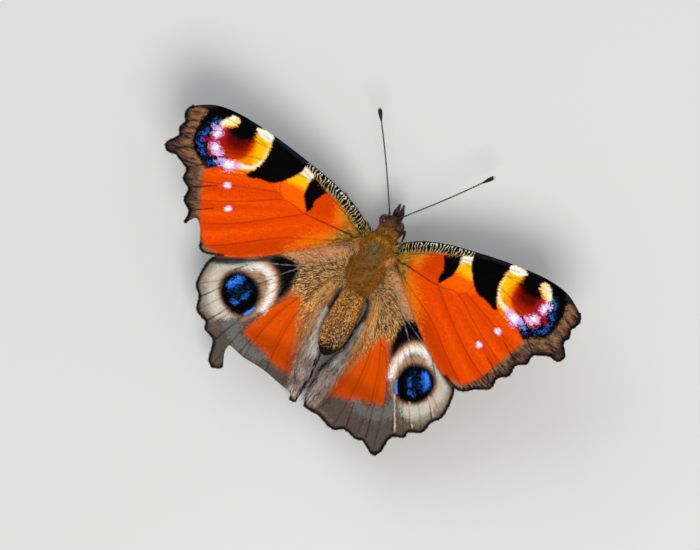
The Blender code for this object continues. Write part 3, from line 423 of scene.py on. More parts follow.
# %% Markings of the hindwing
HIND_FIELDS = [
    ("base_tan", TAN, 0.6, 1.0, 0.95, patch((1.0, 0.6), (3.0, 0.6), (6.0, -1.1), (9.5, -3.4), (11.0, -5.0), (8.6, -5.2), (8.0, -6.5), (7.9, -8.2), (7.0, -9.4), (6.0, -11.0), (5.0, -13.0), (4.2, -15.6), (3.4, -17.6), (2.6, -17.0), (3.0, -13.5), (3.1, -9.0), (2.9, -5.6), (1.0, -4.0))),
    ("costal_peach", (214, 148, 100), 0.50, 1.0, 0.95, patch((3.4, -0.3), (6.0, -1.2), (8.4, -2.9), (10.6, -4.8), (9.2, -5.0), (8.2, -4.7), (6.4, -3.4), (4.8, -2.1))),
    ("fold_gold", (240, 170, 98), 0.6, 1.0, 0.8, line(0.35, 0.80, [(3.3, -5.4), (3.6, -7.2), (4.2, -9.6)])),
    ("fold_orange", (128, 66, 26), 0.5, 1.2, 0.85, line(0.30, 0.80, [(4.2, -10.0), (4.3, -12.4), (3.6, -15.4)])),
    ("fold_brown", (116, 68, 34), 0.16, 0.6, 0.6, line(0.06, 0.16, [(3.7, -8.0), (4.1, -11.0), (3.9, -14.5)], [(5.0, -9.0), (5.0, -11.6), (4.4, -15.0)])),
    ("fold_pale", (220, 160, 116), 0.25, 0.8, 0.7, line(0.24, 0.36, [(3.2, -8.6), (3.4, -10.4), (3.3, -12.4), (3.0, -14.4)])),
    ("brick_blend", (196, 96, 34), 0.8, 1.6, 0.85, patch((5.6, -9.0), (7.5, -8.4), (8.0, -10.0), (6.0, -11.0), (5.2, -13.5), (4.2, -16.5), (3.0, -18.2), (2.8, -17.4), (3.6, -14.6), (4.6, -11.8))),
    ("brick", (220, 78, 0), 0.40, 0.9, 1.0, patch((6.2, -8.9), (7.3, -9.4), (8.2, -10.5), (9.1, -12.1), (9.75, -13.8), (10.4, -15.5), (10.5, -16.4), (9.4, -16.8), (8.0, -17.1), (6.6, -17.7), (5.0, -18.1), (3.5, -18.0), (3.8, -16.5), (4.5, -14.2), (5.1, -12.2), (5.6, -10.4))),
    ("brick_low", (172, 58, 4), 0.8, 0.9, 0.75, patch((3.4, -15.8), (5.5, -15.0), (9.0, -15.2), (10.5, -16.0), (8.0, -17.3), (4.0, -18.0), (3.0, -17.8))),
    ("brick_fold", (168, 54, 6), 0.26, 0.4, 0.55, line(0.06, 0.24, [(5.9, -11.0), (6.3, -13.5), (6.4, -17.0)], [(4.8, -13.5), (4.0, -17.0)], [(7.2, -10.2), (8.5, -13.5), (9.4, -16.8)])),
    ("inner_lilac", (180, 158, 148), 0.4, 0.8, 0.95, patch((-1.0, -12.5), (1.5, -12.3), (3.0, -12.8), (3.2, -14.6), (2.8, -16.8), (2.6, -19.0), (2.0, -20.8), (0.4, -20.8), (-1.0, -19.0))),
    ("inner_slate", (234, 230, 220), 0.20, 0.5, 0.95, line(0.36, 0.50, [(2.6, -8.2), (2.55, -9.6), (2.45, -11.0), (2.3, -12.0), (2.05, -13.0), (1.75, -14.0)])),
    # Painted shadow: the dark gap where the hindwings' inner edges meet the abdomen, down past its end.
    ("flank_shade", SHADOW_BROWN, 0.25, 0.4, 0.9, line(0.30, 0.50, [(1.9, -5.3), (1.6, -8.0), (1.3, -10.5), (0.9, -12.6), (0.5, -14.4)])),
    ("ash_bloom", (112, 112, 108), 0.5, 1.2, 0.7, patch((6.6, -17.7), (8.6, -17.5), (10.8, -16.6), (11.6, -15.0), (13.4, -15.2), (13.6, -16.6), (12.2, -17.8), (10.0, -18.9), (7.0, -18.8))),
    ("pearl_field", PEARL, 0.45, 0.7, 1.0, patch((13.4, -7.4), (15.2, -8.8), (17.2, -9.8), (18.5, -10.5), (18.6, -12.2), (18.2, -13.6), (17.5, -15.0), (16.3, -16.3), (14.6, -16.5), (13.2, -15.8), (12.4, -14.4), (14.5, -14.0), (15.6, -12.8), (15.6, -11.2), (15.0, -10.0), (14.0, -8.8))),
    ("pearl_dusk", (118, 104, 92), 0.6, 1.2, 0.75, patch((17.8, -10.1), (19.2, -11.0), (19.0, -13.8), (17.8, -15.6), (15.6, -17.2), (13.6, -17.4), (15.6, -16.0), (16.9, -14.0), (17.7, -12.0))),
    ("side_tan", (164, 126, 100), 0.35, 0.5, 0.95, line(0.62, 0.30, [(9.9, -10.4), (10.15, -12.2), (10.6, -13.7), (11.4, -14.7)])),
    ("tan_ring", (176, 138, 106), 0.40, 0.5, 0.95, patch((10.1, -12.0), (10.2, -10.4), (10.9, -9.1), (12.2, -8.4), (13.9, -8.5), (15.2, -9.2), (16.1, -10.4), (16.3, -12.0), (15.6, -13.8), (13.8, -14.9), (11.8, -14.9), (10.5, -13.6))),
    ("brown_ring", (96, 66, 48), 0.30, 0.6, 0.8, patch((10.5, -12.3), (10.6, -11.0), (11.3, -9.95), (12.4, -9.35), (13.6, -9.15), (14.8, -9.35), (15.7, -10.0), (16.15, -11.0), (16.2, -12.1), (15.9, -13.2), (15.1, -14.2), (14.0, -14.8), (12.8, -15.05), (11.6, -14.8), (10.9, -14.1), (10.55, -13.3))),
    ("peach_halo", (200, 142, 100), 0.34, 0.5, 0.95, line(0.62, 0.62, [(9.5, -11.4), (9.5, -9.7), (10.0, -8.5), (10.9, -7.6), (12.1, -7.15), (13.4, -7.5)])),
    ("cream_ring", (248, 239, 230), 0.50, 0.4, 1.0, line(0.36, 0.62, [(9.75, -12.6), (9.6, -10.9), (9.85, -9.6), (10.4, -8.6), (11.2, -7.95), (12.2, -7.7), (13.2, -7.85), (13.9, -8.2)])),
    ("grey_bloom", (200, 200, 196), 0.34, 0.6, 0.85, line(0.34, 0.42, [(13.6, -7.95), (15.0, -8.8), (16.3, -9.7), (17.1, -10.8), (17.1, -12.2)])),
    ("low_bloom", (202, 196, 180), 0.34, 0.7, 0.8, patch((15.0, -14.3), (16.3, -13.0), (17.0, -13.4), (16.6, -14.6), (15.2, -15.4), (14.2, -15.0))),
    ("peach_streaks", (214, 168, 134), 0.16, 0.5, 0.7, line(0.16, 0.10, [(16.4, -10.2), (18.0, -12.2)], [(16.6, -11.8), (17.8, -13.4)])),
    ("dark_patch", (10, 7, 8), 0.38, 0.8, 1.0, patch((8.0, -5.15), (9.3, -4.8), (10.8, -5.2), (11.8, -6.2), (10.9, -6.7), (10.1, -7.1), (9.4, -7.9), (9.0, -9.0), (8.8, -10.0), (8.3, -9.9), (7.95, -9.0), (7.75, -7.6), (7.75, -6.2))),
    # Mostly painted shadow: a soft dark band that the forewing's hind edge casts on the hindwing.
    ("edge_band", (48, 43, 41), 0.30, 0.4, 0.9, line(0.26, 0.38, [(12.2, -6.4), (14.2, -7.77), (16.2, -9.0), (18.3, -9.8)])),
    ("oval", BLACK, 0.32, 0.3, 1.0, patch((10.75, -12.3), (10.85, -11.2), (11.5, -10.2), (12.5, -9.65), (13.6, -9.45), (14.6, -9.65), (15.4, -10.2), (15.85, -11.0), (15.9, -12.0), (15.6, -13.0), (14.9, -13.9), (13.9, -14.5), (12.8, -14.75), (11.8, -14.5), (11.1, -13.9), (10.8, -13.2))),
    ("blue_veil", (12, 50, 92), 0.16, 2.6, 0.75, line(0.05, 0.05, [(12.6, -11.0), (13.2, -11.8), (13.6, -12.6)], [(13.6, -11.4), (14.3, -12.2)])),
    ("blue_large", (24, 98, 206), 0.16, 0.6, 0.95, patch((13.5, -10.05), (14.2, -9.95), (14.7, -10.4), (15.15, -11.0), (15.3, -11.7), (15.05, -12.15), (14.7, -12.2), (14.3, -11.6), (13.8, -11.0), (13.6, -10.5))),
    ("blue_glint", (74, 138, 240), 0.22, 0.6, 0.8, line(0.14, 0.16, [(14.1, -10.3), (14.6, -10.85), (15.0, -11.5)])),
    ("blue_small", (22, 100, 184), 0.14, 0.9, 0.9, line(0.12, 0.14, [(12.3, -11.75), (12.7, -12.4)])),
    ("blue_low", (36, 106, 208), 0.14, 0.8, 0.95, line(0.20, 0.16, [(13.15, -13.3), (13.75, -13.4)])),
    ("blue_dash", (70, 132, 226), 0.10, 0.25, 1.0, line(0.14, 0.20, [(10.78, -12.85), (11.05, -13.5), (11.5, -14.15)])),
    ("ochre_line", (140, 104, 62), 0.12, 0.3, 0.6, line(0.10, 0.10, [(0.6, -20.9), (3.0, -21.0), (5.2, -21.5)])),
    ("streaks", (44, 36, 32), 0.08, 0.15, 0.85, line(0.06, 0.11, [(15.9, -12.6), (17.7, -15.1)], [(13.8, -14.6), (15.5, -17.3)], [(11.6, -14.5), (13.4, -18.8)], [(9.4, -16.8), (10.5, -21.2)], [(6.8, -18.0), (7.3, -21.2)], [(10.4, -8.4), (11.9, -10.0)], [(14.0, -8.2), (15.2, -9.6)])),
    # Painted highlights: pale streaks where the light catches the outer rays of the right hindwing.
    ("pale_streaks", (228, 186, 158), 0.08, 0.15, 0.8, line(0.11, 0.09, [(15.9, -12.6), (17.7, -14.6)], [(13.8, -14.5), (15.7, -17.2)], [(11.4, -14.5), (13.8, -18.8)])),
    ("pale_veins", (146, 146, 172), 0.06, 0.1, 0.75, line(0.07, 0.04, [(4.3, -1.9), (6.2, -3.5), (8.1, -5.1), (11.6, -6.7)], [(8.0, -5.5), (9.8, -7.4)])),
]
print("hindwing markings:", len(HIND_FIELDS))

# %% [markdown]
# ## The wing sheets
# A grid would not follow the scalloped border, and a filled outline alone has no points inside
# to carry markings and relief. So the border, the veins and an even spread of points between
# them are joined by a Delaunay fill, which keeps border and veins as edges. The flat sheet is
# lifted to its height, and a Solidify modifier gives it two faces and a thin edge.

# %% Points of a sheet
SHEET_SPACING, ROW_SHARE, SHEET_MERGE = 0.15, 0.87, 0.03


def plan_of_sheet(rim, veins):
    """The points and triangles of a wing in the plan."""
    points, edges = [rim], [(index, (index + 1) % len(rim)) for index in range(len(rim))]
    count = len(rim)
    lines = [smooth_line(vein, SHEET_SPACING) for vein in veins]
    for path in lines:
        gap, _ = line_distance(path, np.vstack((rim, rim[:1])))
        path = path[inside(path, rim) & (gap > 0.5 * SHEET_SPACING)]
        points.append(path)
        edges += [(index, index + 1) for index in range(count, count + len(path) - 1)]
        count += len(path)
    columns, rows = (np.ceil((rim.max(0) - rim.min(0)) / SHEET_SPACING) * (1, 1 / ROW_SHARE)).astype(int)
    column, row = np.meshgrid(np.arange(columns), np.arange(rows))
    fill = rim.min(0) + SHEET_SPACING * np.column_stack(((column + 0.5 * (row % 2)).ravel(), ROW_SHARE * row.ravel()))
    fill = fill[inside(fill, rim)]
    rim_gap, _ = line_distance(fill, np.vstack((rim, rim[:1])))
    vein_gap = np.min([line_distance(fill, path)[0] for path in lines], axis=0)
    fill = fill[(rim_gap > 0.6 * SHEET_SPACING) & (vein_gap > 0.5 * SHEET_SPACING)]
    points.append(fill)
    made = delaunay_2d_cdt([Vector(point) for point in np.vstack(points)], edges, [list(range(len(rim)))], 1, SHEET_MERGE)
    return np.array([tuple(point) for point in made[0]]), np.array([face for face in made[2] if len(face) == 3])


# %% What each point of a sheet learns
def store(mesh, name, values):
    """Keeps a number or a vector for every point of a mesh."""
    kind, socket = ("FLOAT_VECTOR", "vector") if np.ndim(values) == 2 else ("FLOAT", "value")
    layer = mesh.attributes.new(name, kind, "POINT")
    layer.data.foreach_set(socket, np.asarray(values, np.float32).ravel())


GRAIN_REACH = 14.0
GRAIN_ROOTS = {"fore": (WING_ROOT, 1.8), "hind": (WING_ROOT, -2.8)}
WORN_GAP, ABSENT = 0.3, 50.0
HIND_TURN, BARE_MARGIN = 0.22, {"fore": (17.0, -99.0), "hind": (2.8, -14.5)}


def worn(points, kind):
    """True where an edge is torn, away from the border of the whole wing."""
    whole = RIMS[kind, RIGHT]
    return line_distance(points, np.vstack((whole, whole[:1])))[0] > WORN_GAP


def learn_wing(mesh, plan, kind, side, repeats=1):
    """Stores the depth in each marking, the gaps to vein, border and costa, and the grain."""
    fields = FORE_FIELDS if kind == "fore" else HIND_FIELDS
    drawn = plan + (0, side * HIND_TURN * (kind == "hind"))
    known = {name: depth_inside(drawn, shape) for name, *_, shape in fields}
    # The painted highlight streaks are left off the left hindwing, where the light doesn't catch them.
    if "pale_streaks" in known and side == LEFT:
        known["pale_streaks"] -= ABSENT
    rim, veins = RIMS[kind, side], WINGS[kind]["veins"]
    known["costa_gap"], known["costa_run"] = line_distance(plan, COSTAS[kind])
    bare = (rim[:, 0] < BARE_MARGIN[kind][0]) & (rim[:, 1] > BARE_MARGIN[kind][1])
    border = rim[(np.linalg.norm(rim[:, None] - COSTAS[kind][None], axis=2).min(1) > 0.35) & ~bare & ~worn(rim, kind)]
    known["rim_gap"] = line_distance(plan, border)[0]
    known["vein_gap"] = np.min([line_distance(plan, smooth_line(vein, 0.4))[0] for vein in veins], axis=0)
    from_root = plan - GRAIN_ROOTS[kind]
    reach, angle = np.linalg.norm(from_root, axis=1), np.arctan2(from_root[:, 1], from_root[:, 0])
    known["grain"] = np.column_stack((reach, angle * GRAIN_REACH, np.full(len(plan), float(side))))
    for name, values in known.items():
        store(mesh, name, np.repeat(values, repeats, axis=0))


# %% Lifting a sheet
MEMBRANE = 0.13


def lifted(plan, kind, side):
    """Points of the plan as (out, ahead, up) on the middle of the sheet."""
    rim = RIMS[kind, side]
    closed_rim = np.vstack((rim, rim[:1]))
    vein_gap = np.min([line_distance(plan, smooth_line(vein, 0.4))[0] for vein in WINGS[kind]["veins"]], axis=0)
    costa_gap, _ = line_distance(plan, COSTAS[kind])
    vein_gap = np.minimum(vein_gap, costa_gap)
    up = WINGS[kind]["height"](plan[:, 0], plan[:, 1]) + relief(vein_gap, line_distance(plan, closed_rim)[0])
    return np.column_stack((plan, up))


def finish_piece(piece, slot, *nodes):
    """Hands a finished piece to the frame: it rides on the root and stands for its nodes."""
    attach(piece, "root")
    if nodes:
        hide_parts(*nodes)
    return piece


def apply_modifiers(piece):
    deselect_all()
    bpy.context.view_layer.objects.active = piece
    piece.select_set(True)
    for modifier in list(piece.modifiers):
        bpy.ops.object.modifier_apply(modifier=modifier.name)


def wing_sheet(kind, side, side_name):
    plan, faces = plan_of_sheet(RIMS[kind, side], WINGS[kind]["veins"])
    on_sheet = lifted(plan, kind, side)
    SHEET_PLANS[kind, side] = (on_sheet, faces)
    corners = places(side, on_sheet)
    if side == LEFT:
        faces = faces[:, ::-1]
    mesh = bpy.data.meshes.new(f"{kind}wing_{side_name}_skin")
    mesh.from_pydata(corners.tolist(), [], faces.tolist())
    learn_wing(mesh, plan, kind, side)
    piece = bpy.data.objects.new(mesh.name, mesh)
    bpy.context.scene.collection.objects.link(piece)
    solid = piece.modifiers.new("thickness", "SOLIDIFY")
    solid.thickness = MEMBRANE * MM
    solid.offset = 0
    apply_modifiers(piece)
    mesh.shade_smooth()
    mesh.set_sharp_from_angle(angle=radians(60))
    return finish_piece(piece, WINGS[kind]["slot"], f"{kind}wing_{side_name}")


SHEETS, SHEET_PLANS = {}, {}
for kind in WINGS:
    for side, side_name in SIDES:
        SHEETS[kind, side] = wing_sheet(kind, side, side_name)
        print(SHEETS[kind, side].name, "has", len(SHEETS[kind, side].data.polygons), "faces")

# %% [markdown]
# ## Scales as materials
# Two effects serve all four wings, so each is a node group, built once. The scale mosaic turns
# the grain, which runs out from the wing's root, into rows of tiles: each tile has a random
# number of its own and a slightly raised end. The painted marking lays one colour over
# another wherever a field is deep enough, scattered by the tile's number.


# %% Helpers for nodes
def linear(colour):
    """A screen colour of 0 to 255 as the light it stands for."""
    shares = np.array(colour, float) / 255
    light = np.where(shares <= 0.04045, shares / 12.92, ((shares + 0.055) / 1.055) ** 2.4)
    return (*light, 1.0)


def add_node(tree, kind, values=None, **settings):
    """A node with its settings, and its inputs set to numbers or linked to sockets."""
    made = tree.nodes.new(kind)
    for name, value in settings.items():
        setattr(made, name, value)
    for name, value in (values or {}).items():
        if isinstance(value, bpy.types.NodeSocket):
            tree.links.new(value, made.inputs[name])
        else:
            made.inputs[name].default_value = value
    return made


def maths(tree, operation, first, second=0.0, clamp=False):
    made = add_node(tree, "ShaderNodeMath", {0: first, 1: second}, operation=operation, use_clamp=clamp)
    return made.outputs[0]


def field(tree, name):
    return add_node(tree, "ShaderNodeAttribute", attribute_name=name).outputs["Fac"]


def step_up(tree, value, low, high):
    """0 below low and 1 above high, with a smooth rise between."""
    made = add_node(tree, "ShaderNodeMapRange", {"Value": value, "From Min": low, "From Max": high}, interpolation_type="SMOOTHSTEP")
    return made.outputs["Result"]


def mix_colours(tree, share, under, over, blend="MIX"):
    made = add_node(tree, "ShaderNodeMix", data_type="RGBA", blend_type=blend)
    for index, value in ((0, share), (6, under), (7, over)):
        if isinstance(value, bpy.types.NodeSocket):
            tree.links.new(value, made.inputs[index])
        else:
            made.inputs[index].default_value = value
    return made.outputs[2]


def new_group(name, inputs, outputs):
    """An empty node group with named sockets, and its two end nodes."""
    tree = bpy.data.node_groups.new(name, "ShaderNodeTree")
    for label, kind in inputs:
        tree.interface.new_socket(label, in_out="INPUT", socket_type="NodeSocket" + kind)
    for label, kind in outputs:
        tree.interface.new_socket(label, in_out="OUTPUT", socket_type="NodeSocket" + kind)
    return tree, tree.nodes.new("NodeGroupInput"), tree.nodes.new("NodeGroupOutput")


def use_group(tree, group, values):
    made = add_node(tree, "ShaderNodeGroup", node_tree=group)
    for name, value in values.items():
        if isinstance(value, bpy.types.NodeSocket):
            tree.links.new(value, made.inputs[name])
        else:
            made.inputs[name].default_value = value
    return made


# %% The scale mosaic
SCALE_LENGTH, SCALE_WIDTH = 0.17, 0.065
mosaic, group_in, group_out = new_group("scale_mosaic", [("Grain", "Vector")], [("Tile", "Float"), ("Fleck", "Float"), ("Streak", "Float"), ("Height", "Float")])
stretched = add_node(mosaic, "ShaderNodeMapping", {"Vector": group_in.outputs["Grain"], "Scale": (1 / SCALE_LENGTH, 1 / SCALE_WIDTH, 7.0)})
tiles = add_node(mosaic, "ShaderNodeTexVoronoi", {"Vector": stretched.outputs[0], "Scale": 1.0, "Randomness": 0.8}, voronoi_dimensions="3D")
fleck_grain = add_node(mosaic, "ShaderNodeMapping", {"Vector": group_in.outputs["Grain"], "Scale": (2.3, 2.9, 7.0)})
flecks = add_node(mosaic, "ShaderNodeTexNoise", {"Vector": fleck_grain.outputs[0], "Scale": 1.0, "Detail": 3.0, "Roughness": 0.6, "Distortion": 0.8})
streaks = add_node(mosaic, "ShaderNodeTexNoise", {"Vector": add_node(mosaic, "ShaderNodeMapping", {"Vector": group_in.outputs["Grain"], "Scale": (0.8, 6.5, 7.0)}).outputs[0], "Scale": 1.0, "Detail": 3.0})
mosaic.links.new(add_node(mosaic, "ShaderNodeSeparateColor", {"Color": tiles.outputs["Color"]}).outputs[0], group_out.inputs["Tile"])
mosaic.links.new(flecks.outputs["Fac"], group_out.inputs["Fleck"])
mosaic.links.new(streaks.outputs["Fac"], group_out.inputs["Streak"])
mosaic.links.new(maths(mosaic, "SUBTRACT", 1.0, tiles.outputs["Distance"]), group_out.inputs["Height"])

# %% The painted marking
marking, group_in, group_out = new_group(
    "painted_marking",
    [("Under", "Color"), ("Colour", "Color"), ("Depth", "Float"), ("Softness", "Float"), ("Scatter", "Float"), ("Strength", "Float"), ("Tile", "Float"), ("Fleck", "Float"), ("Streak", "Float")],
    [("Colour", "Color")],
)
wobble = maths(marking, "MULTIPLY", maths(marking, "SUBTRACT", group_in.outputs["Streak"], 0.5), 0.26)
grains = maths(marking, "MULTIPLY", maths(marking, "SUBTRACT", group_in.outputs["Tile"], 0.5), 0.6)
clumps = maths(marking, "MULTIPLY", maths(marking, "SUBTRACT", group_in.outputs["Fleck"], 0.5), 1.6)
throw = maths(marking, "MULTIPLY", maths(marking, "ADD", grains, clumps), group_in.outputs["Scatter"])
depth = maths(marking, "ADD", maths(marking, "ADD", group_in.outputs["Depth"], throw), wobble)
share = step_up(marking, depth, maths(marking, "MULTIPLY", group_in.outputs["Softness"], -1.0), group_in.outputs["Softness"])
share = maths(marking, "MULTIPLY", share, group_in.outputs["Strength"])
marking.links.new(mix_colours(marking, share, group_in.outputs["Under"], group_in.outputs["Colour"]), group_out.inputs["Colour"])
print("node groups:", [tree.name for tree in bpy.data.node_groups])

# %% [markdown]
# The upper side of a wing is then a stack of markings over a ground colour. Two things are
# patterns and not shapes: the front edge of the forewing is barred black and cream, and the
# veins are thin dark lines. At the end each tile is made a little lighter or darker than the
# next, and fine streaks run out from the root.


# %% The upper sides
def paint(tree, colour, under, depth, softness, scatter, strength, scales):
    values = {"Under": under, "Colour": linear(colour), "Depth": depth, "Softness": softness, "Scatter": scatter, "Strength": strength}
    values.update({name: scales.outputs[name] for name in ("Tile", "Fleck", "Streak")})
    return use_group(tree, marking, values).outputs["Colour"]


BARS_PER_MM = 2.2


def barred_costa(tree, under, scales):
    """Black and cream bars across the front edge of the forewing, over a dusting of gold."""
    run, gap = field(tree, "costa_run"), field(tree, "costa_gap")
    along = add_node(tree, "ShaderNodeCombineXYZ", {"X": maths(tree, "MULTIPLY", run, 1.3), "Y": maths(tree, "MULTIPLY", gap, 1.1)})
    bend = add_node(tree, "ShaderNodeTexNoise", {"Vector": along.outputs[0], "Scale": 1.0, "Detail": 2.0})
    phase = maths(tree, "ADD", maths(tree, "MULTIPLY", run, BARS_PER_MM), maths(tree, "MULTIPLY", gap, 0.45))
    phase = maths(tree, "ADD", phase, maths(tree, "MULTIPLY", bend.outputs["Fac"], 2.6))
    bar = step_up(tree, maths(tree, "SINE", maths(tree, "MULTIPLY", phase, 2 * pi)), 0.05, 0.80)
    bar = maths(tree, "MULTIPLY", bar, step_up(tree, scales.outputs["Fleck"], 0.64, 0.54))
    on_wing = maths(tree, "MULTIPLY", step_up(tree, run, 0.0, 0.5), step_up(tree, run, 12.6, 12.2))
    reach = maths(tree, "ADD", maths(tree, "MULTIPLY", step_up(tree, run, 12.5, 8.5), 0.50), 0.75)
    dust_reach = maths(tree, "ADD", reach, maths(tree, "ADD", maths(tree, "MULTIPLY", step_up(tree, run, 8.0, 4.5), 0.35), 0.15))
    dust_reach = maths(tree, "SUBTRACT", dust_reach, maths(tree, "MULTIPLY", step_up(tree, run, 9.5, 11.0), 0.6))
    dusted = paint(tree, (180, 134, 50), under, maths(tree, "SUBTRACT", dust_reach, gap), 0.15, 0.9, 0.85, scales)
    meshed = maths(tree, "SUBTRACT", maths(tree, "SUBTRACT", dust_reach, 0.10), gap)
    dusted = paint(tree, (40, 38, 28), dusted, maths(tree, "SUBTRACT", meshed, maths(tree, "MULTIPLY", bar, 0.9)), 0.12, 0.6, 0.75, scales)
    pale = mix_colours(tree, step_up(tree, run, 2.0, 5.5), linear((196, 170, 104)), linear((226, 216, 186)))
    pale = mix_colours(tree, maths(tree, "MULTIPLY", step_up(tree, gap, 0.35, 0.95), 0.8), pale, linear((138, 140, 104)))
    barred = mix_colours(tree, bar, linear((16, 14, 14)), pale)
    throw = maths(tree, "MULTIPLY", maths(tree, "SUBTRACT", scales.outputs["Tile"], 0.5), 0.3)
    barred_depth = maths(tree, "SUBTRACT", reach, gap)
    in_bars = step_up(tree, maths(tree, "ADD", barred_depth, throw), -0.08, 0.08)
    edge = step_up(tree, gap, 0.05, 0.16)
    barred = mix_colours(tree, edge, linear((24, 20, 18)), barred)
    painted = mix_colours(tree, in_bars, dusted, barred)
    return mix_colours(tree, on_wing, under, painted)


def flecked(tree, under, over, cover, flecks, low, high):
    """Scatters flecks of another colour where the cover is positive."""
    flecks = step_up(tree, flecks, low, high)
    return mix_colours(tree, maths(tree, "MULTIPLY", flecks, step_up(tree, cover, -0.3, 0.5)), under, over)


def wing_material(name, ground, fields, costal):
    made = bpy.data.materials.new(name)
    made.use_nodes = True
    tree = made.node_tree
    shader = tree.nodes["Principled BSDF"]
    grain = add_node(tree, "ShaderNodeAttribute", attribute_name="grain").outputs["Vector"]
    scales = use_group(tree, mosaic, {"Grain": grain})
    colour = add_node(tree, "ShaderNodeRGB").outputs[0]
    colour.default_value = linear(ground)
    for layer, tone, softness, scatter, strength, _ in fields:
        colour = paint(tree, tone, colour, field(tree, layer), softness, scatter, strength, scales)
        if layer == costal:
            colour = barred_costa(tree, colour, scales)
        for tone, grained, low, high in FLECKS.get(layer, []):
            colour = flecked(tree, colour, linear(tone), field(tree, layer), scales.outputs[grained], low, high)
    rim_gap, vein_gap = field(tree, "rim_gap"), field(tree, "vein_gap")
    colour = paint(tree, (14, 11, 13), colour, maths(tree, "SUBTRACT", 0.30, rim_gap), 0.18, 0.3, 0.96, scales)
    on_vein = maths(tree, "MULTIPLY", step_up(tree, vein_gap, 0.16, 0.02), 0.42)
    colour = mix_colours(tree, on_vein, colour, linear((150, 120, 110)), "MULTIPLY")
    tone = maths(tree, "ADD", maths(tree, "MULTIPLY", scales.outputs["Tile"], 0.24), 0.88)
    tone = maths(tree, "MULTIPLY", tone, maths(tree, "ADD", maths(tree, "MULTIPLY", scales.outputs["Fleck"], 0.5), 0.75))
    tone = maths(tree, "MULTIPLY", tone, maths(tree, "ADD", maths(tree, "MULTIPLY", scales.outputs["Streak"], 0.34), 0.83))
    toned = mix_colours(tree, 1.0, colour, add_node(tree, "ShaderNodeCombineColor", {0: tone, 1: tone, 2: tone}).outputs[0], "MULTIPLY")
    tree.links.new(toned, shader.inputs["Base Color"])
    bump = add_node(tree, "ShaderNodeBump", {"Strength": 0.5, "Distance": 0.02 * MM, "Height": scales.outputs["Height"]})
    tree.links.new(bump.outputs["Normal"], shader.inputs["Normal"])
    shader.inputs["Roughness"].default_value = 0.75
    shader.inputs["Specular IOR Level"].default_value = 0.02
    return made


FLECKS = {
    "base_gold": [((120, 78, 22), "Fleck", 0.53, 0.60), ((244, 184, 70), "Fleck", 0.45, 0.39)],
    "base_dusk": [((56, 46, 30), "Fleck", 0.52, 0.58), ((228, 172, 66), "Fleck", 0.46, 0.41)],
    "base_tan": [((62, 46, 46), "Fleck", 0.50, 0.54), ((236, 188, 112), "Fleck", 0.47, 0.42)],
    "fold_gold": [((96, 66, 46), "Fleck", 0.50, 0.56), ((232, 176, 104), "Streak", 0.46, 0.38)],
    "fold_orange": [((104, 62, 34), "Streak", 0.52, 0.60), ((196, 124, 62), "Streak", 0.46, 0.38)],
    "inner_lilac": [((92, 76, 70), "Streak", 0.52, 0.60), ((206, 194, 188), "Streak", 0.46, 0.38)],
    "inner_slate": [((180, 176, 164), "Streak", 0.52, 0.60)],
    "costal_peach": [((146, 96, 66), "Streak", 0.52, 0.62), ((236, 186, 146), "Fleck", 0.46, 0.40)],
    "border": [((52, 38, 32), "Streak", 0.52, 0.62), ((138, 100, 70), "Streak", 0.47, 0.38)],
}
fore_upper = wing_material("forewing_scales", BRICK, FORE_FIELDS, "cream_bar")
hind_upper = wing_material("hindwing_scales", ASH, HIND_FIELDS, None)
print("nodes in the forewing's scales:", len(fore_upper.node_tree.nodes))

# %% [markdown]
# The photograph shows only the upper sides. Underneath, this species is all but black, so that
# a sitting butterfly looks like charred bark: fine dark cross-lines, a jagged black line across
# the middle and a slightly paler outer third.


# %% The undersides
def under_material():
    made = bpy.data.materials.new("underside_bark")
    made.use_nodes = True
    tree = made.node_tree
    shader = tree.nodes["Principled BSDF"]
    grain = add_node(tree, "ShaderNodeAttribute", attribute_name="grain").outputs["Vector"]
    scales = use_group(tree, mosaic, {"Grain": grain})
    crossed = add_node(tree, "ShaderNodeMapping", {"Vector": grain, "Scale": (3.4, 0.9, 7.0)})
    lines = add_node(tree, "ShaderNodeTexNoise", {"Vector": crossed.outputs[0], "Scale": 1.0, "Detail": 4.0, "Distortion": 1.2})
    bark = mix_colours(tree, step_up(tree, lines.outputs["Fac"], 0.40, 0.62), linear((16, 13, 14)), linear((74, 60, 52)))
    reach = add_node(tree, "ShaderNodeSeparateXYZ", {"Vector": grain}).outputs["X"]
    outer = maths(tree, "MULTIPLY", step_up(tree, reach, 13.0, 17.0), 0.35)
    bark = mix_colours(tree, outer, bark, linear((104, 90, 78)))
    jagged = maths(tree, "ADD", reach, maths(tree, "MULTIPLY", lines.outputs["Fac"], 4.0))
    off_line = maths(tree, "ABSOLUTE", maths(tree, "SUBTRACT", jagged, 14.8))
    bark = mix_colours(tree, step_up(tree, off_line, 0.55, 0.25), bark, linear((8, 7, 8)))
    bark = paint(tree, (12, 10, 12), bark, maths(tree, "SUBTRACT", 0.5, field(tree, "rim_gap")), 0.2, 0.5, 0.9, scales)
    tree.links.new(bark, shader.inputs["Base Color"])
    shader.inputs["Roughness"].default_value = 0.7
    shader.inputs["Specular IOR Level"].default_value = 0.08
    bump = add_node(tree, "ShaderNodeBump", {"Strength": 0.5, "Distance": 0.02 * MM, "Height": scales.outputs["Height"]})
    tree.links.new(bump.outputs["Normal"], shader.inputs["Normal"])
    return made


TURNED_DOWN = -0.1
underside = under_material()
for (kind, side), sheet in SHEETS.items():
    sheet.data.materials.append(fore_upper if kind == "fore" else hind_upper)
    sheet.data.materials.append(underside)
    normals = np.zeros((len(sheet.data.polygons), 3), np.float32)
    sheet.data.polygons.foreach_get("normal", normals.ravel())
    turned_down = (normals[:, 2] < TURNED_DOWN).astype(np.int32)
    sheet.data.polygons.foreach_set("material_index", turned_down)
    print(sheet.name, "has", int(turned_down.sum()), "faces turned down")

# %% [markdown]
# ## A lock of hair
# Fur on a butterfly is made of fine pointed hairs, far too many to draw one by one, so a lock
# stands for a few of them. It is modelled once, by hand: a small triangle is raised three
# times, each time narrower, and closed at its tip. Every coat is then a crowd of such locks,
# each with its own root, direction, length and width, joined into one mesh.

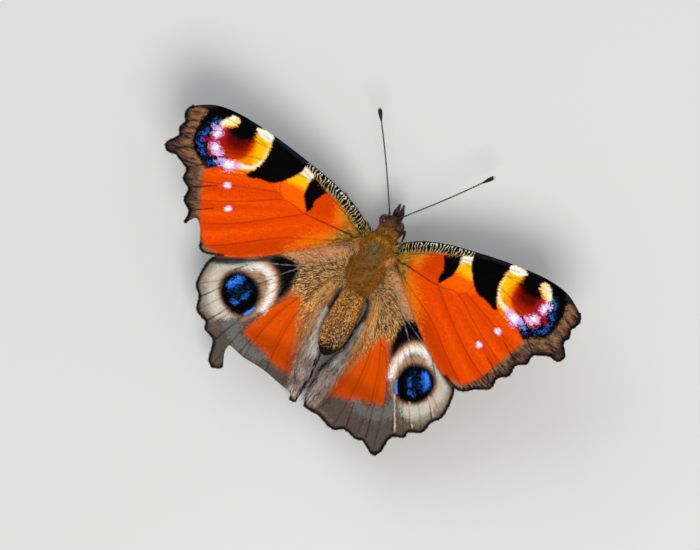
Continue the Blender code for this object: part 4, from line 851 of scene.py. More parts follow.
# %% One lock
deselect_all()
bpy.ops.mesh.primitive_circle_add(vertices=3, radius=1.0, fill_type="NGON")
bpy.ops.object.mode_set(mode="EDIT")
for height, size in ((0.35, 0.95), (0.35, 0.70)):
    bpy.ops.mesh.extrude_region_move(TRANSFORM_OT_translate={"value": (0, 0, height)})
    bpy.ops.transform.resize(value=(size, size, 1))
bpy.ops.mesh.extrude_region_move(TRANSFORM_OT_translate={"value": (0, 0, 0.3)})
bpy.ops.mesh.merge(type="CENTER")
bpy.ops.mesh.select_all(action="SELECT")
bpy.ops.mesh.normals_make_consistent(inside=False)
bpy.ops.object.mode_set(mode="OBJECT")
lock = bpy.context.object
LOCK_POINTS = np.array([tuple(corner.co) for corner in lock.data.vertices])
LOCK_FACES = [tuple(polygon.vertices) for polygon in lock.data.polygons]
bpy.data.objects.remove(lock)
print("a lock has", len(LOCK_POINTS), "points and", len(LOCK_FACES), "faces, height", LOCK_POINTS[:, 2].max())

# %% [markdown]
# Each lock leaves the skin at an angle, bends over and lies along it. Neighbours lean together,
# so that the fur parts into tufts. A lock's points carry what its root knows: the depths of the
# markings there, so skin and hair wear the same pattern. The map OFBake gives each lock a small
# patch at its root's place.

# %% A crowd of locks
PATCH = 0.003


def unit(vectors):
    return vectors / np.maximum(np.linalg.norm(vectors, axis=1), 1e-9)[:, None]


def ruffle(roots, size, seed):
    """A smooth random field from -1 to 1 whose waves are about the given size."""
    chance = np.random.default_rng(seed)
    waves = chance.normal(0, 3.5 / size, (7, 3))
    return np.sin(roots @ waves.T + chance.uniform(0, 2 * pi, 7)).sum(1) / 3.5


def grow(name, roots, normals, flow, length, width, lift, flat, uv, chance, tuft=0.5, stray=0.2):
    """Locks on roots, all arrays in mm in (x, ahead, up), as a mesh with lock and tip stored."""
    count, size = len(roots), len(LOCK_POINTS)
    normals, flow = unit(normals), unit(flow)
    lean = np.column_stack([ruffle(roots, tuft, seed) for seed in (1, 2, 3)])
    flow = flow + chance.normal(0, stray, flow.shape) + 0.45 * lean
    flow = unit(flow - (flow * normals).sum(1)[:, None] * normals)
    beside = np.cross(flow, normals)
    length = length * chance.uniform(0.65, 1.25, count) * (1 + 0.2 * ruffle(roots, tuft, 4))
    width = width * chance.uniform(0.7, 1.25, count)
    lift = lift * chance.uniform(0.5, 1.5, count)
    along, over, across = LOCK_POINTS[:, 2], LOCK_POINTS[:, 1], LOCK_POINTS[:, 0]
    bend = along - 0.55 * along**2
    raised = (length * lift)[:, None] * bend + (width * flat)[:, None] * over - 0.02
    points = roots[:, None] + flow[:, None] * (length[:, None] * along)[..., None]
    points = points + normals[:, None] * raised[..., None] + beside[:, None] * (width[:, None] * across)[..., None]
    points = points.reshape(-1, 3)
    faces = np.concatenate([np.array(face) for face in LOCK_FACES])
    sizes = np.array([len(face) for face in LOCK_FACES])
    corners = (np.arange(count)[:, None] * size + faces).ravel()
    mesh = bpy.data.meshes.new(name)
    mesh.vertices.add(len(points))
    mesh.vertices.foreach_set("co", places(1, points).astype(np.float32).ravel())
    mesh.loops.add(len(corners))
    mesh.loops.foreach_set("vertex_index", corners.astype(np.int32))
    mesh.polygons.add(count * len(sizes))
    starts = np.concatenate(([0], np.cumsum(np.tile(sizes, count))[:-1]))
    mesh.polygons.foreach_set("loop_start", starts.astype(np.int32))
    mesh.update(calc_edges=True)
    mesh.shade_smooth()
    store(mesh, "lock", np.repeat(chance.uniform(0, 1, count), size))
    store(mesh, "tuft", np.repeat(0.5 + 0.5 * ruffle(roots, tuft, 5), size))
    store(mesh, "tip", np.tile(along, count))
    layer = mesh.uv_layers.new(name="OFBake")
    own = np.column_stack((along - 0.5, across / 2)) * PATCH
    patches = (uv[:, None] + own[None]).reshape(-1, 2)
    layer.data.foreach_set("uv", patches[corners].astype(np.float32).ravel())
    piece = bpy.data.objects.new(name, mesh)
    bpy.context.scene.collection.objects.link(piece)
    triangles = count * int((sizes - 2).sum())
    print(name, "has", count, "locks and", triangles, "triangles")
    return piece


def scatter(corners, triangles, count, chance, keep=None):
    """Roots spread evenly over triangles, with their normals."""
    first, second, third = (corners[triangles[:, corner]] for corner in range(3))
    crossed = np.cross(second - first, third - first)
    area = np.linalg.norm(crossed, axis=1)
    if keep is not None:
        area = area * keep((first + second + third) / 3, unit(crossed))
    places_along = (np.arange(count) + chance.uniform(0, 1, count)) / count * area.sum()
    chosen = np.searchsorted(np.cumsum(area), places_along).clip(0, len(area) - 1)
    one, two = chance.uniform(0, 1, (2, count))
    turned = one + two > 1
    one, two = np.where(turned, 1 - one, one)[:, None], np.where(turned, 1 - two, two)[:, None]
    roots = first[chosen] + one * (second - first)[chosen] + two * (third - first)[chosen]
    return roots, unit(crossed[chosen])

# %% [markdown]
# ## One skin for the body
# Head, thorax and abdomen are three solids with gaps between them, but the animal has one
# unbroken skin. Copies of the three are joined with a neck, a waist, two eye sockets, a mouth and
# the hip of every leg, and a
# Remesh modifier turns the lot into a single closed surface. Smoothing melts the steps away,
# and a Displace modifier draws the skin in by the depth of the fur that will stand on it.

# %% Copies and fillers
EYE_CENTRE, EYE_HALF_SIZES = (1.08, 5.32, -2.0), (0.64, 0.74, 0.88)
FILLERS = [
    ("neck", 0.0, (0.0, 4.15, -2.4), (1.55, 1.0, 1.25)),
    ("waist", 0.0, (0.0, -4.65, -3.0), (1.70, 1.1, 1.6)),
    ("socket_left", LEFT, EYE_CENTRE, (0.66, 0.76, 0.90)),
    ("socket_right", RIGHT, EYE_CENTRE, (0.66, 0.76, 0.90)),
    ("abdomen_end", 0.0, (0.0, -13.3, -3.1), (1.05, 1.0, 0.95)),
    ("mouth", 0.0, (0.0, 5.7, -3.75), (0.44, 0.48, 0.48)),
]
for side, _ in SIDES:
    FILLERS.append(("shoulder", side, (2.25, 1.7, -1.05), (0.42, 0.85, 0.36)))
    FILLERS.append(("fore_hip", side, (0.85, 3.45, -4.55), (0.48, 0.88, 0.78)))
    FILLERS.append(("middle_hip", side, (1.38, 1.15, -5.00), (0.66, 0.72, 0.86)))
    FILLERS.append(("hind_hip", side, (1.38, -2.15, -5.00), (0.66, 0.72, 0.86)))
deselect_all()
fillers = []
for name, side, (out, ahead, up), half_sizes in FILLERS:
    scale = [size * MM for size in half_sizes]
    bpy.ops.mesh.primitive_uv_sphere_add(segments=24, ring_count=16, radius=1, location=place(side or LEFT, out, ahead, up), scale=scale)
    fillers.append(bpy.context.object)
for node in ("head", "thorax", "abdomen"):
    copied = bpy.data.objects.new(node + "_copy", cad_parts[node].data.copy())
    bpy.context.scene.collection.objects.link(copied)
    deselect_all()
    copied.select_set(True)
    bpy.context.view_layer.objects.active = copied
    bpy.ops.object.mode_set(mode="EDIT")
    bpy.ops.mesh.select_all(action="SELECT")
    bpy.ops.mesh.remove_doubles(threshold=0.001 * MM)
    bpy.ops.object.mode_set(mode="OBJECT")
    fillers.append(copied)
deselect_all()
for filler in fillers:
    filler.select_set(True)
bpy.context.view_layer.objects.active = fillers[0]
bpy.ops.object.join()
body = bpy.context.object
body.name = body.data.name = "body_skin"
bpy.ops.object.transform_apply(location=True, rotation=True, scale=True)
body.data.materials.clear()

# %% Melting them together
SKIN_VOXEL, FUR_DEPTH, BODY_AXIS = 0.13, 0.20, -3.0
remesh = body.modifiers.new("one_skin", "REMESH")
remesh.mode, remesh.voxel_size = "VOXEL", SKIN_VOXEL * MM
smooth = body.modifiers.new("melt", "SMOOTH")
smooth.factor, smooth.iterations = 0.5, 12
apply_modifiers(body)
ahead_of = spots_of([tuple(corner.co) for corner in body.data.vertices])[:, 1]
depth_share = 0.3 + 0.7 * rise(-ahead_of, -4.5, -3.6) * (1 - 0.6 * rise(-ahead_of, 4.2, 5.2))
group = body.vertex_groups.new(name="fur_depth")
for index, share in enumerate(depth_share):
    group.add([index], float(share), "REPLACE")
shrink = body.modifiers.new("fur_depth", "DISPLACE")
shrink.mid_level, shrink.strength, shrink.vertex_group = 0.0, -FUR_DEPTH * MM, group.name
apply_modifiers(body)
body.vertex_groups.clear()
body.data.shade_smooth()
skin_corners = spots_of([tuple(corner.co) for corner in body.data.vertices])
body.data.calc_loop_triangles()
skin_triangles = np.array([tuple(triangle.vertices) for triangle in body.data.loop_triangles])
finish_piece(body, "thorax_fur", "head", "thorax", "abdomen")
print("body skin:", len(skin_corners), "points,", len(skin_triangles), "triangles")

# %% [markdown]
# The fur's colours are markings too, drawn on the body's plan as seen from above. The thorax
# has an olive saddle between golden flanks, the abdomen is ochre flecked with dark and gold
# and ends dark, and the head is dark with golden hair between the eyes. The underside, which
# the picture hides, is dark brown.

# %% Markings of the body
BODY_FIELDS = [
    ("flank_gold", (190, 120, 46), 0.7, 1.2, 0.95, patch((-2.4, 3.6), (0.0, 4.9), (2.4, 3.6), (3.4, 1.0), (3.3, -2.5), (2.2, -4.2), (-2.2, -4.2), (-3.3, -2.5), (-3.4, 1.0))),
    ("saddle", (134, 98, 26), 0.7, 1.0, 0.95, patch((-1.3, 3.0), (0.0, 3.6), (1.3, 3.0), (1.9, 0.5), (1.7, -2.4), (0.0, -3.4), (-1.7, -2.4), (-1.9, 0.5))),
    ("saddle_olive", (118, 98, 58), 0.9, 1.4, 0.7, line(0.8, 0.6, [(0.0, 1.8), (0.0, -0.6)])),
    ("saddle_pale", (186, 156, 108), 0.2, 2.4, 0.4, line(0.3, 0.3, [(0.0, 2.0), (0.0, -0.4)])),
    ("collar", (176, 112, 4), 0.45, 1.0, 0.95, line(0.85, 0.85, [(-2.0, 2.6), (0.0, 3.4), (2.0, 2.6)])),
    ("collar_front", (214, 140, 14), 0.25, 1.6, 0.9, line(0.30, 0.30, [(-1.2, 3.9), (0.0, 4.2), (1.2, 3.9)])),
    ("shoulder", (222, 158, 94), 0.20, 0.9, 0.85, line(0.18, 0.18, [(2.35, 2.0), (2.35, 1.3)], [(-2.35, 2.0), (-2.35, 1.3)])),
    ("abdomen_ochre", (255, 180, 90), 0.5, 0.9, 1.0, line(2.8, 2.4, [(0.0, -6.6), (0.0, -12.8)])),
    ("abdomen_gold", (246, 184, 66), 0.2, 4.2, 0.85, line(0.8, 1.6, [(0.0, -6.0), (0.0, -13.2)])),
    ("abdomen_flecks", (88, 68, 54), 0.2, 5.0, 0.9, line(0.7, 1.7, [(0.0, -6.0), (0.0, -13.0)])),
    ("abdomen_grey", (88, 86, 84), 0.3, 1.8, 0.8, line(0.35, 0.75, [(-1.5, -9.3), (-1.3, -12.8)])),
    ("abdomen_side", (150, 96, 44), 0.3, 1.2, 0.9, line(0.25, 0.45, [(-1.9, -5.0), (-2.1, -9.0)], [(1.9, -5.0), (2.1, -9.0)])),
    ("rump", (148, 96, 30), 0.9, 1.2, 0.9, patch((-2.0, -1.6), (-1.1, -0.5), (1.1, -0.5), (2.0, -1.6), (2.3, -3.4), (2.0, -5.0), (0.0, -5.7), (-2.0, -5.0), (-2.5, -3.4))),
    # The dark end is partly the abdomen's own dark hair and partly painted shadow around its tip.
    ("abdomen_tip", (28, 21, 15), 0.4, 1.1, 1.0, patch((-2.6, -11.8), (-0.8, -12.3), (0.6, -12.6), (2.6, -12.8), (2.6, -16.0), (-2.6, -16.0))),
    ("face", (88, 64, 52), 0.3, 1.0, 0.9, line(1.2, 1.1, [(-0.8, 6.2), (0.8, 6.2)])),
    ("brow", (228, 146, 36), 0.20, 2.4, 0.95, line(0.62, 0.34, [(0.0, 4.3), (0.0, 6.0)])),
    ("brow_dark", (62, 45, 33), 0.15, 3.2, 0.9, line(0.50, 0.50, [(0.0, 4.7), (0.0, 6.0)])),
]


def learn_body(mesh, spots, repeats=1):
    """Stores the depth in each marking of the body, and how far down its side a spot is."""
    known = {name: depth_inside(spots[:, :2], shape) for name, *_, shape in BODY_FIELDS}
    known["belly"] = -3.0 - spots[:, 2]
    for name, values in known.items():
        store(mesh, name, np.repeat(values, repeats))


def body_material(name, ground, fields, under):
    made = bpy.data.materials.new(name)
    made.use_nodes = True
    tree = made.node_tree
    shader = tree.nodes["Principled BSDF"]
    tile, tip, tuft = field(tree, "lock"), field(tree, "tip"), field(tree, "tuft")
    spot = add_node(tree, "ShaderNodeTexCoord").outputs["Object"]
    streak = add_node(tree, "ShaderNodeTexNoise", {"Vector": spot, "Scale": 1800.0}).outputs["Fac"]
    clumps = add_node(tree, "ShaderNodeTexNoise", {"Vector": spot, "Scale": 3200.0}).outputs["Fac"]
    fleck = maths(tree, "ADD", maths(tree, "MULTIPLY", clumps, 0.8), 0.1)
    colour = add_node(tree, "ShaderNodeRGB").outputs[0]
    colour.default_value = linear(ground)
    for layer, tone, softness, scattered, strength, _ in fields:
        values = {"Under": colour, "Colour": linear(tone), "Depth": field(tree, layer), "Softness": softness, "Scatter": 1.6 * scattered, "Strength": strength, "Tile": tile, "Fleck": fleck, "Streak": streak}
        colour = use_group(tree, marking, values).outputs["Colour"]
    if under:
        below = step_up(tree, field(tree, "belly"), -0.4, 1.2)
        colour = mix_colours(tree, maths(tree, "MULTIPLY", below, 0.8), colour, linear(under))
    spin = maths(tree, "FRACT", maths(tree, "MULTIPLY", tile, 7.31))
    tone = maths(tree, "ADD", maths(tree, "MULTIPLY", tip, 0.70), 0.65)
    tone = maths(tree, "MULTIPLY", tone, maths(tree, "ADD", maths(tree, "MULTIPLY", spin, 0.5), 0.75))
    tone = maths(tree, "MULTIPLY", tone, maths(tree, "ADD", maths(tree, "MULTIPLY", tuft, 0.9), 0.6))
    toned = mix_colours(tree, 1.0, colour, add_node(tree, "ShaderNodeCombineColor", {0: tone, 1: tone, 2: tone}).outputs[0], "MULTIPLY")
    tree.links.new(toned, shader.inputs["Base Color"])
    shader.inputs["Roughness"].default_value = 0.62
    shader.inputs["Specular IOR Level"].default_value = 0.15
    return made


fur = body_material("body_fur", (128, 92, 54), BODY_FIELDS, (86, 68, 56))
body_chance = np.random.default_rng(11)
learn_body(body.data, skin_corners)
store(body.data, "lock", body_chance.uniform(0, 1, len(skin_corners)))
store(body.data, "tuft", np.full(len(skin_corners), 0.4))
store(body.data, "tip", np.full(len(skin_corners), 0.1))
body.data.materials.append(fur)
print("body markings:", len(BODY_FIELDS))

# %% [markdown]
# The hair grows back from the head over the thorax, where it is longest and spreads over the
# roots of the wings, and lies short and flat on the abdomen, like scales. Between the eyes it
# stands up and leans forward.

# %% Fur of the body
def body_uv(roots):
    turn = np.arctan2(roots[:, 0], roots[:, 2] - BODY_AXIS)
    return np.column_stack((0.02 + 0.96 * (0.5 + turn / (2 * pi)), 0.02 + 0.96 * (roots[:, 1] + 15) / 23.5))


def body_coat(name, slot, count, span, length, width, lift, flow_of, extra=None, tuft=0.6):
    """Locks between two places along the body."""

    def keep(middles, normals):
        return (middles[:, 1] < span[0]) & (middles[:, 1] > span[1]) & (extra(middles, normals) if extra else True)

    roots, normals = scatter(skin_corners, skin_triangles, count, body_chance, keep)
    sized = length(roots) if callable(length) else np.full(count, length)
    piece = grow(name, roots, normals, flow_of(roots), sized, width, lift, 0.6, body_uv(roots), body_chance, tuft)
    learn_body(piece.data, roots, len(LOCK_POINTS))
    piece.data.materials.append(fur)
    return finish_piece(piece, slot)


def backwards(roots):
    spread = np.clip(roots[:, 0] / 2.5, -1, 1)
    return np.column_stack((0.75 * spread * np.abs(spread), -np.ones(len(roots)), 0.15 * np.ones(len(roots))))


def thorax_length(roots):
    upper = rise(roots[:, 2], -3.2, -1.2)
    return 0.75 + upper * (0.65 * rise(np.abs(roots[:, 0]), 1.2, 2.3) + 0.35 * rise(-roots[:, 1], 2.0, 4.5) + 0.2 * rise(roots[:, 1], 2.0, 3.5))


def off_the_eyes(middles, normals):
    gap = [np.linalg.norm((middles - (side * EYE_CENTRE[0], *EYE_CENTRE[1:])) / (np.array(EYE_HALF_SIZES) + 0.05), axis=1) for side, _ in SIDES]
    return np.minimum(*gap) > 1.0


def head_flow(roots):
    between = 1 - rise(np.abs(roots[:, 0]), 0.3, 0.9)
    ahead = 0.7 * between - 0.6 * (1 - between) * (roots[:, 1] < 5.6) + 0.3
    return np.column_stack((0.3 * roots[:, 0], ahead, 0.6 + 0 * ahead))


def on_the_flank(middles, normals):
    return (middles[:, 2] > -2.4) & (middles[:, 2] < -0.7) & (np.abs(middles[:, 0]) > 1.4)


def on_the_side(middles, normals):
    return (middles[:, 2] > -3.6) & (middles[:, 2] < -2.2) & (np.abs(middles[:, 0]) > 1.2)


def on_the_collar(middles, normals):
    return (middles[:, 2] > -2.6) & (np.abs(middles[:, 0]) > 0.8)


def sideways(roots):
    return np.column_stack((1.2 * np.sign(roots[:, 0]), 0.15 + 0 * roots[:, 0], 0.25 + 0 * roots[:, 0]))


def side_length(roots):
    return 0.95 - 0.65 * rise(-roots[:, 1], 6.5, 10.5)


def abdomen_length(roots):
    return 0.36 + 0.10 * rise(np.abs(roots[:, 0]), 1.2, 1.8)


def outwards(roots):
    return np.column_stack((1.3 * np.sign(roots[:, 0]), -np.ones(len(roots)), 0.35 * np.ones(len(roots))))


body_coat("thorax_coat", "thorax_fur", 10500, (4.6, -4.9), thorax_length, 0.052, 0.34, backwards, tuft=0.8)
body_coat("flank_coat", "thorax_fur", 7000, (3.0, -4.3), 1.80, 0.034, 0.36, outwards, on_the_flank, tuft=0.7)
body_coat("collar_coat", "thorax_fur", 1800, (4.4, 2.4), 0.80, 0.040, 0.40, sideways, on_the_collar, tuft=0.6)
body_coat("abdomen_coat", "abdomen_fur", 8500, (-4.3, -14.6), abdomen_length, 0.070, 0.30, backwards, tuft=0.35)
body_coat("abdomen_side_coat", "abdomen_fur", 1400, (-4.6, -13.2), side_length, 0.050, 0.50, outwards, on_the_side, tuft=0.5)
body_coat("head_coat", "head_fur", 4200, (6.7, 3.9), 0.50, 0.042, 0.8, head_flow, off_the_eyes)

# %% [markdown]
# ## Hair on the wings
# The scales turn into long hairs towards the roots of the wings, above all over the inner third
# of the hindwings and along the gutter beside the abdomen. They run out from the root like the
# grain, or back along the gutter. Roots are spread over the sheet where a density allows it,
# and each lock wears the wing's own material, with the markings of its root.

# %% Where the wing hair grows
wing_chance = np.random.default_rng(23)


def hind_base(spots):
    """Dense near the root and in the gutter, and gone at the markings."""
    out, ahead = spots[:, 0], spots[:, 1]
    reach = np.linalg.norm(spots[:, :2] - GRAIN_ROOTS["hind"], axis=1)
    inner = (1 - rise(out, 2.6, 4.6)) * rise(ahead, -20.5, -17.5)
    return np.maximum(1 - rise(reach, 5.5, 8.0), inner)


def fore_base(spots):
    reach = np.linalg.norm(spots[:, :2] - GRAIN_ROOTS["fore"], axis=1)
    hind_edge, _ = line_distance(spots[:, :2], smooth_line(FORE_HIND_MARGIN, 0.4))
    costa, _ = line_distance(spots[:, :2], COSTAS["fore"])
    haired = np.maximum(1 - rise(reach, 2.4, 4.4), 0.7 * (1 - rise(hind_edge, 0.2, 0.9)) * (1 - rise(spots[:, 0], 8.0, 13.0)))
    return haired * np.maximum(rise(costa, 1.3, 1.9), 1 - rise(spots[:, 0], 2.4, 3.2))


def wing_coat(name, kind, side, count, density, length_of, width, lift):
    corners, triangles = SHEET_PLANS[kind, side]
    roots, normals = scatter(corners, triangles, count, wing_chance, lambda middles, _: density(middles))
    outward = unit(roots[:, :2] - GRAIN_ROOTS[kind])
    if kind == "hind":
        back = (1 - rise(roots[:, 0], 2.0, 4.4)) * rise(-roots[:, 1], 4.0, 6.5)
        outward = unit(outward * (1 - back)[:, None] + np.array((-0.12, -1.0)) * back[:, None])
    slope = -(normals[:, :2] * outward).sum(1) / np.maximum(normals[:, 2], 0.2)
    flow = np.column_stack((outward, slope))
    plan = roots[:, :2].copy()
    length = length_of(roots)
    roots = roots + normals * (0.5 * MEMBRANE)
    mirrored = (side, 1, 1)
    uv = 0.02 + 0.96 * (plan - (0, -24)) / 36
    piece = grow(name, roots * mirrored, normals * mirrored, flow * mirrored, length, width, lift, 0.5, uv, wing_chance, 0.45, 0.12)
    learn_wing(piece.data, plan, kind, side, len(LOCK_POINTS))
    piece.data.materials.append(fore_upper if kind == "fore" else hind_upper)
    return finish_piece(piece, WINGS[kind]["slot"])


def hind_length(roots):
    gutter = (1 - rise(roots[:, 0], 2.2, 4.4)) * rise(-roots[:, 1], 5.0, 9.0)
    return 0.42 + 0.75 * gutter


def fore_length(roots):
    return 0.40 + 0.25 * (1 - rise(roots[:, 0], 2.5, 4.5))


for side, side_name in SIDES:
    wing_coat(f"hindwing_{side_name}_hair", "hind", side, 7500, hind_base, hind_length, 0.042, 0.16)
    wing_coat(f"forewing_{side_name}_hair", "fore", side, 2000, fore_base, fore_length, 0.040, 0.16)

# %% [markdown]
# ## Fringe
# The border of every wing carries a fringe of short scales, dark at the ends of the veins and
# paler between them. Each scale is a flat lock on the edge that points straight out.

# %% Fringe of the wings
FRINGE_SPACING, FRINGE_LENGTH = 0.055, 0.24


def fringe(kind, side, side_name):
    rim = RIMS[kind, side]
    run = np.concatenate(([0], np.cumsum(np.linalg.norm(np.diff(rim, axis=0), axis=1))))
    at = np.arange(0, run[-1], FRINGE_SPACING)
    plan = np.column_stack([np.interp(at, run, rim[:, axis]) for axis in (0, 1)])
    ahead_on = np.column_stack([np.interp(at + 0.1, run, rim[:, axis]) for axis in (0, 1)])
    heading = unit(ahead_on - plan)
    costa_gap, _ = line_distance(plan, COSTAS[kind])
    keep = (costa_gap > 0.3) & (plan[:, 0] > 2.4 if kind == "fore" else plan[:, 0] > 0.4) & (np.linalg.norm(heading, axis=1) > 0.5)
    keep &= ~worn(plan, kind)
    plan, heading = plan[keep], heading[keep]
    outward = np.column_stack((-heading[:, 1], heading[:, 0]))
    if not inside(plan[:50] - 0.2 * outward[:50], rim).mean() > 0.5:
        outward = -outward
    roots = lifted(plan - 0.06 * outward, kind, side)
    step = lifted(plan - 0.46 * outward, kind, side)
    flow = roots - step
    normals = np.tile((0.0, 0.0, 1.0), (len(roots), 1))
    mirrored = (side, 1, 1)
    uv = 0.02 + 0.96 * (plan - (0, -24)) / 36
    length = np.full(len(roots), FRINGE_LENGTH)
    piece = grow(f"{kind}wing_{side_name}_fringe", roots * mirrored, normals, flow * mirrored, length, 0.05, 0.05, 0.35, uv, wing_chance, 0.5, 0.15)
    learn_wing(piece.data, plan - 0.25 * outward, kind, side, len(LOCK_POINTS))
    piece.data.materials.append(fore_upper if kind == "fore" else hind_upper)
    return finish_piece(piece, WINGS[kind]["slot"])


for kind in WINGS:
    for side, side_name in SIDES:
        fringe(kind, side, side_name)

# %% [markdown]
# ## Eyes, feelers, tongue and palps
# An eye is a ball of thousands of six-sided facets with short hairs between them. It starts as
# a UV sphere at the eye's own size, turned so that its poles lie inside the head.

# %% Eyes
EYE_HAIRS, EYE_INNER = 2200, 0.55


def eye_material():
    made = bpy.data.materials.new("faceted_eye")
    made.use_nodes = True
    tree = made.node_tree
    shader = tree.nodes["Principled BSDF"]
    spot = add_node(tree, "ShaderNodeTexCoord").outputs["Object"]
    facets = add_node(tree, "ShaderNodeTexVoronoi", {"Vector": spot, "Scale": 14000.0, "Randomness": 0.35})
    # The paler pinkish patches are partly painted sheen, the light the hairy eye gives back, over its brown ground.
    bloom = add_node(tree, "ShaderNodeTexNoise", {"Vector": spot, "Scale": 1500.0, "Detail": 2.0})
    colour = mix_colours(tree, step_up(tree, bloom.outputs["Fac"], 0.42, 0.66), linear((46, 28, 20)), linear((134, 86, 62)))
    colour = mix_colours(tree, maths(tree, "MULTIPLY", facets.outputs["Distance"], 0.55), colour, linear((20, 11, 9)))
    tree.links.new(colour, shader.inputs["Base Color"])
    bump = add_node(tree, "ShaderNodeBump", {"Strength": 0.4, "Distance": 0.008 * MM, "Height": maths(tree, "SUBTRACT", 1.0, facets.outputs["Distance"])})
    tree.links.new(bump.outputs["Normal"], shader.inputs["Normal"])
    shader.inputs["Roughness"].default_value = 0.28
    shader.inputs["Specular IOR Level"].default_value = 0.5
    return made


eye_look = eye_material()
for side, side_name in SIDES:
    deselect_all()
    bpy.ops.mesh.primitive_uv_sphere_add(segments=48, ring_count=32, radius=1, location=place(side, *EYE_CENTRE), rotation=(0, pi / 2, 0), scale=(EYE_HALF_SIZES[2] * MM, EYE_HALF_SIZES[1] * MM, EYE_HALF_SIZES[0] * MM))
    eye = bpy.context.object
    eye.name = eye.data.name = "eye_" + side_name + "_ball"
    bpy.ops.object.transform_apply(location=True, rotation=True, scale=True)
    eye.data.shade_smooth()
    eye.data.materials.append(eye_look)
    finish_piece(eye, "eye", "eye_" + side_name)

# %% [markdown]
# The eye is hairy in this species. The hairs are short and fine, and stand straight out.

# %% Hairs on the eyes
eye_chance = np.random.default_rng(7)
eye_hair = body_material("eye_hair", (84, 62, 50), [], None)
for side, side_name in SIDES:
    turn, high = eye_chance.uniform(0, 2 * pi, EYE_HAIRS), eye_chance.uniform(-0.95, 1, EYE_HAIRS)
    level = np.sqrt(1 - high**2)
    across = level * np.cos(turn)
    across = np.where(across < -EYE_INNER, -across, across)
    outward = np.column_stack((side * across, level * np.sin(turn), high))
    roots = np.array((side * EYE_CENTRE[0], *EYE_CENTRE[1:])) + outward * EYE_HALF_SIZES
    flow = np.tile((0.4 * side, -0.2, 0.6), (EYE_HAIRS, 1))
    uv = np.column_stack((0.1 + 0.8 * turn / (2 * pi), 0.3 + 0.5 * high))
    hair = grow(f"eye_{side_name}_hair", roots, outward / EYE_HALF_SIZES, flow, np.full(EYE_HAIRS, 0.11), 0.008, 1.8, 0.9, uv, eye_chance)
    hair.data.materials.append(eye_hair)
    finish_piece(hair, "eye")

# %% [markdown]
# Feelers, tongue, palps and legs are all limbs: a line through a few places, with a radius at
# each, given a round section by the curve's bevel and turned into a mesh. Each limb learns how
# far along it every point lies, for rings and joints in its material.


# %% A limb from a line
def limb(name, side, path, resolution=5):
    """A closed tube along (out, ahead, up, radius) in mm, which stores the run along it."""
    path = np.asarray(path, float)
    data = bpy.data.curves.new(name + "_line", "CURVE")
    data.dimensions, data.bevel_depth, data.bevel_resolution, data.use_fill_caps = "3D", MM, resolution, True
    spline = data.splines.new("POLY")
    spline.points.add(len(path) - 1)
    for point, (out, ahead, up, radius) in zip(spline.points, path):
        point.co, point.radius = (*place(side, out, ahead, up), 1), radius
    made = bpy.data.objects.new(name, data)
    bpy.context.scene.collection.objects.link(made)
    deselect_all()
    made.select_set(True)
    bpy.context.view_layer.objects.active = made
    bpy.ops.object.convert(target="MESH")
    made = bpy.context.object
    made.name = made.data.name = name
    bpy.ops.object.mode_set(mode="EDIT")
    bpy.ops.mesh.select_all(action="SELECT")
    bpy.ops.mesh.remove_doubles(threshold=0.0005 * MM)
    bpy.ops.mesh.normals_make_consistent(inside=False)
    bpy.ops.object.mode_set(mode="OBJECT")
    made.data.shade_smooth()
    spots = spots_of([tuple(corner.co) for corner in made.data.vertices])
    spots[:, 0] *= side
    store(made.data, "run", line_distance(spots, path[:, :3])[1])
    return made


def limb_material(name, dark, pale, rings_per_mm, ring_share, tip_at=None, tip_colour=None, rough=0.45):
    """Chitin with pale rings at every segment and, on a club, a pale tip."""
    made = bpy.data.materials.new(name)
    made.use_nodes = True
    tree = made.node_tree
    shader = tree.nodes["Principled BSDF"]
    run = field(tree, "run")
    wave = maths(tree, "FRACT", maths(tree, "MULTIPLY", run, rings_per_mm))
    ring = maths(tree, "MULTIPLY", step_up(tree, wave, ring_share + 0.12, ring_share - 0.08), step_up(tree, run, 1.0, 1.8))
    spot = add_node(tree, "ShaderNodeTexCoord").outputs["Object"]
    scales = add_node(tree, "ShaderNodeTexNoise", {"Vector": spot, "Scale": 9000.0, "Detail": 2.0}).outputs["Fac"]
    colour = mix_colours(tree, maths(tree, "MULTIPLY", ring, step_up(tree, scales, 0.3, 0.6)), linear(dark), linear(pale))
    if tip_at:
        colour = mix_colours(tree, step_up(tree, run, tip_at[0], tip_at[0] + 0.3), colour, linear((14, 12, 12)))
        colour = mix_colours(tree, step_up(tree, run, tip_at[1], tip_at[1] + 0.12), colour, linear(tip_colour))
    tone = maths(tree, "ADD", maths(tree, "MULTIPLY", scales, 0.8), 0.6)
    toned = mix_colours(tree, 1.0, colour, add_node(tree, "ShaderNodeCombineColor", {0: tone, 1: tone, 2: tone}).outputs[0], "MULTIPLY")
    tree.links.new(toned, shader.inputs["Base Color"])
    bump = add_node(tree, "ShaderNodeBump", {"Strength": 0.5, "Distance": 0.01 * MM, "Height": scales})
    tree.links.new(bump.outputs["Normal"], shader.inputs["Normal"])
    shader.inputs["Roughness"].default_value = rough
    shader.inputs["Specular IOR Level"].default_value = 0.3
    return made


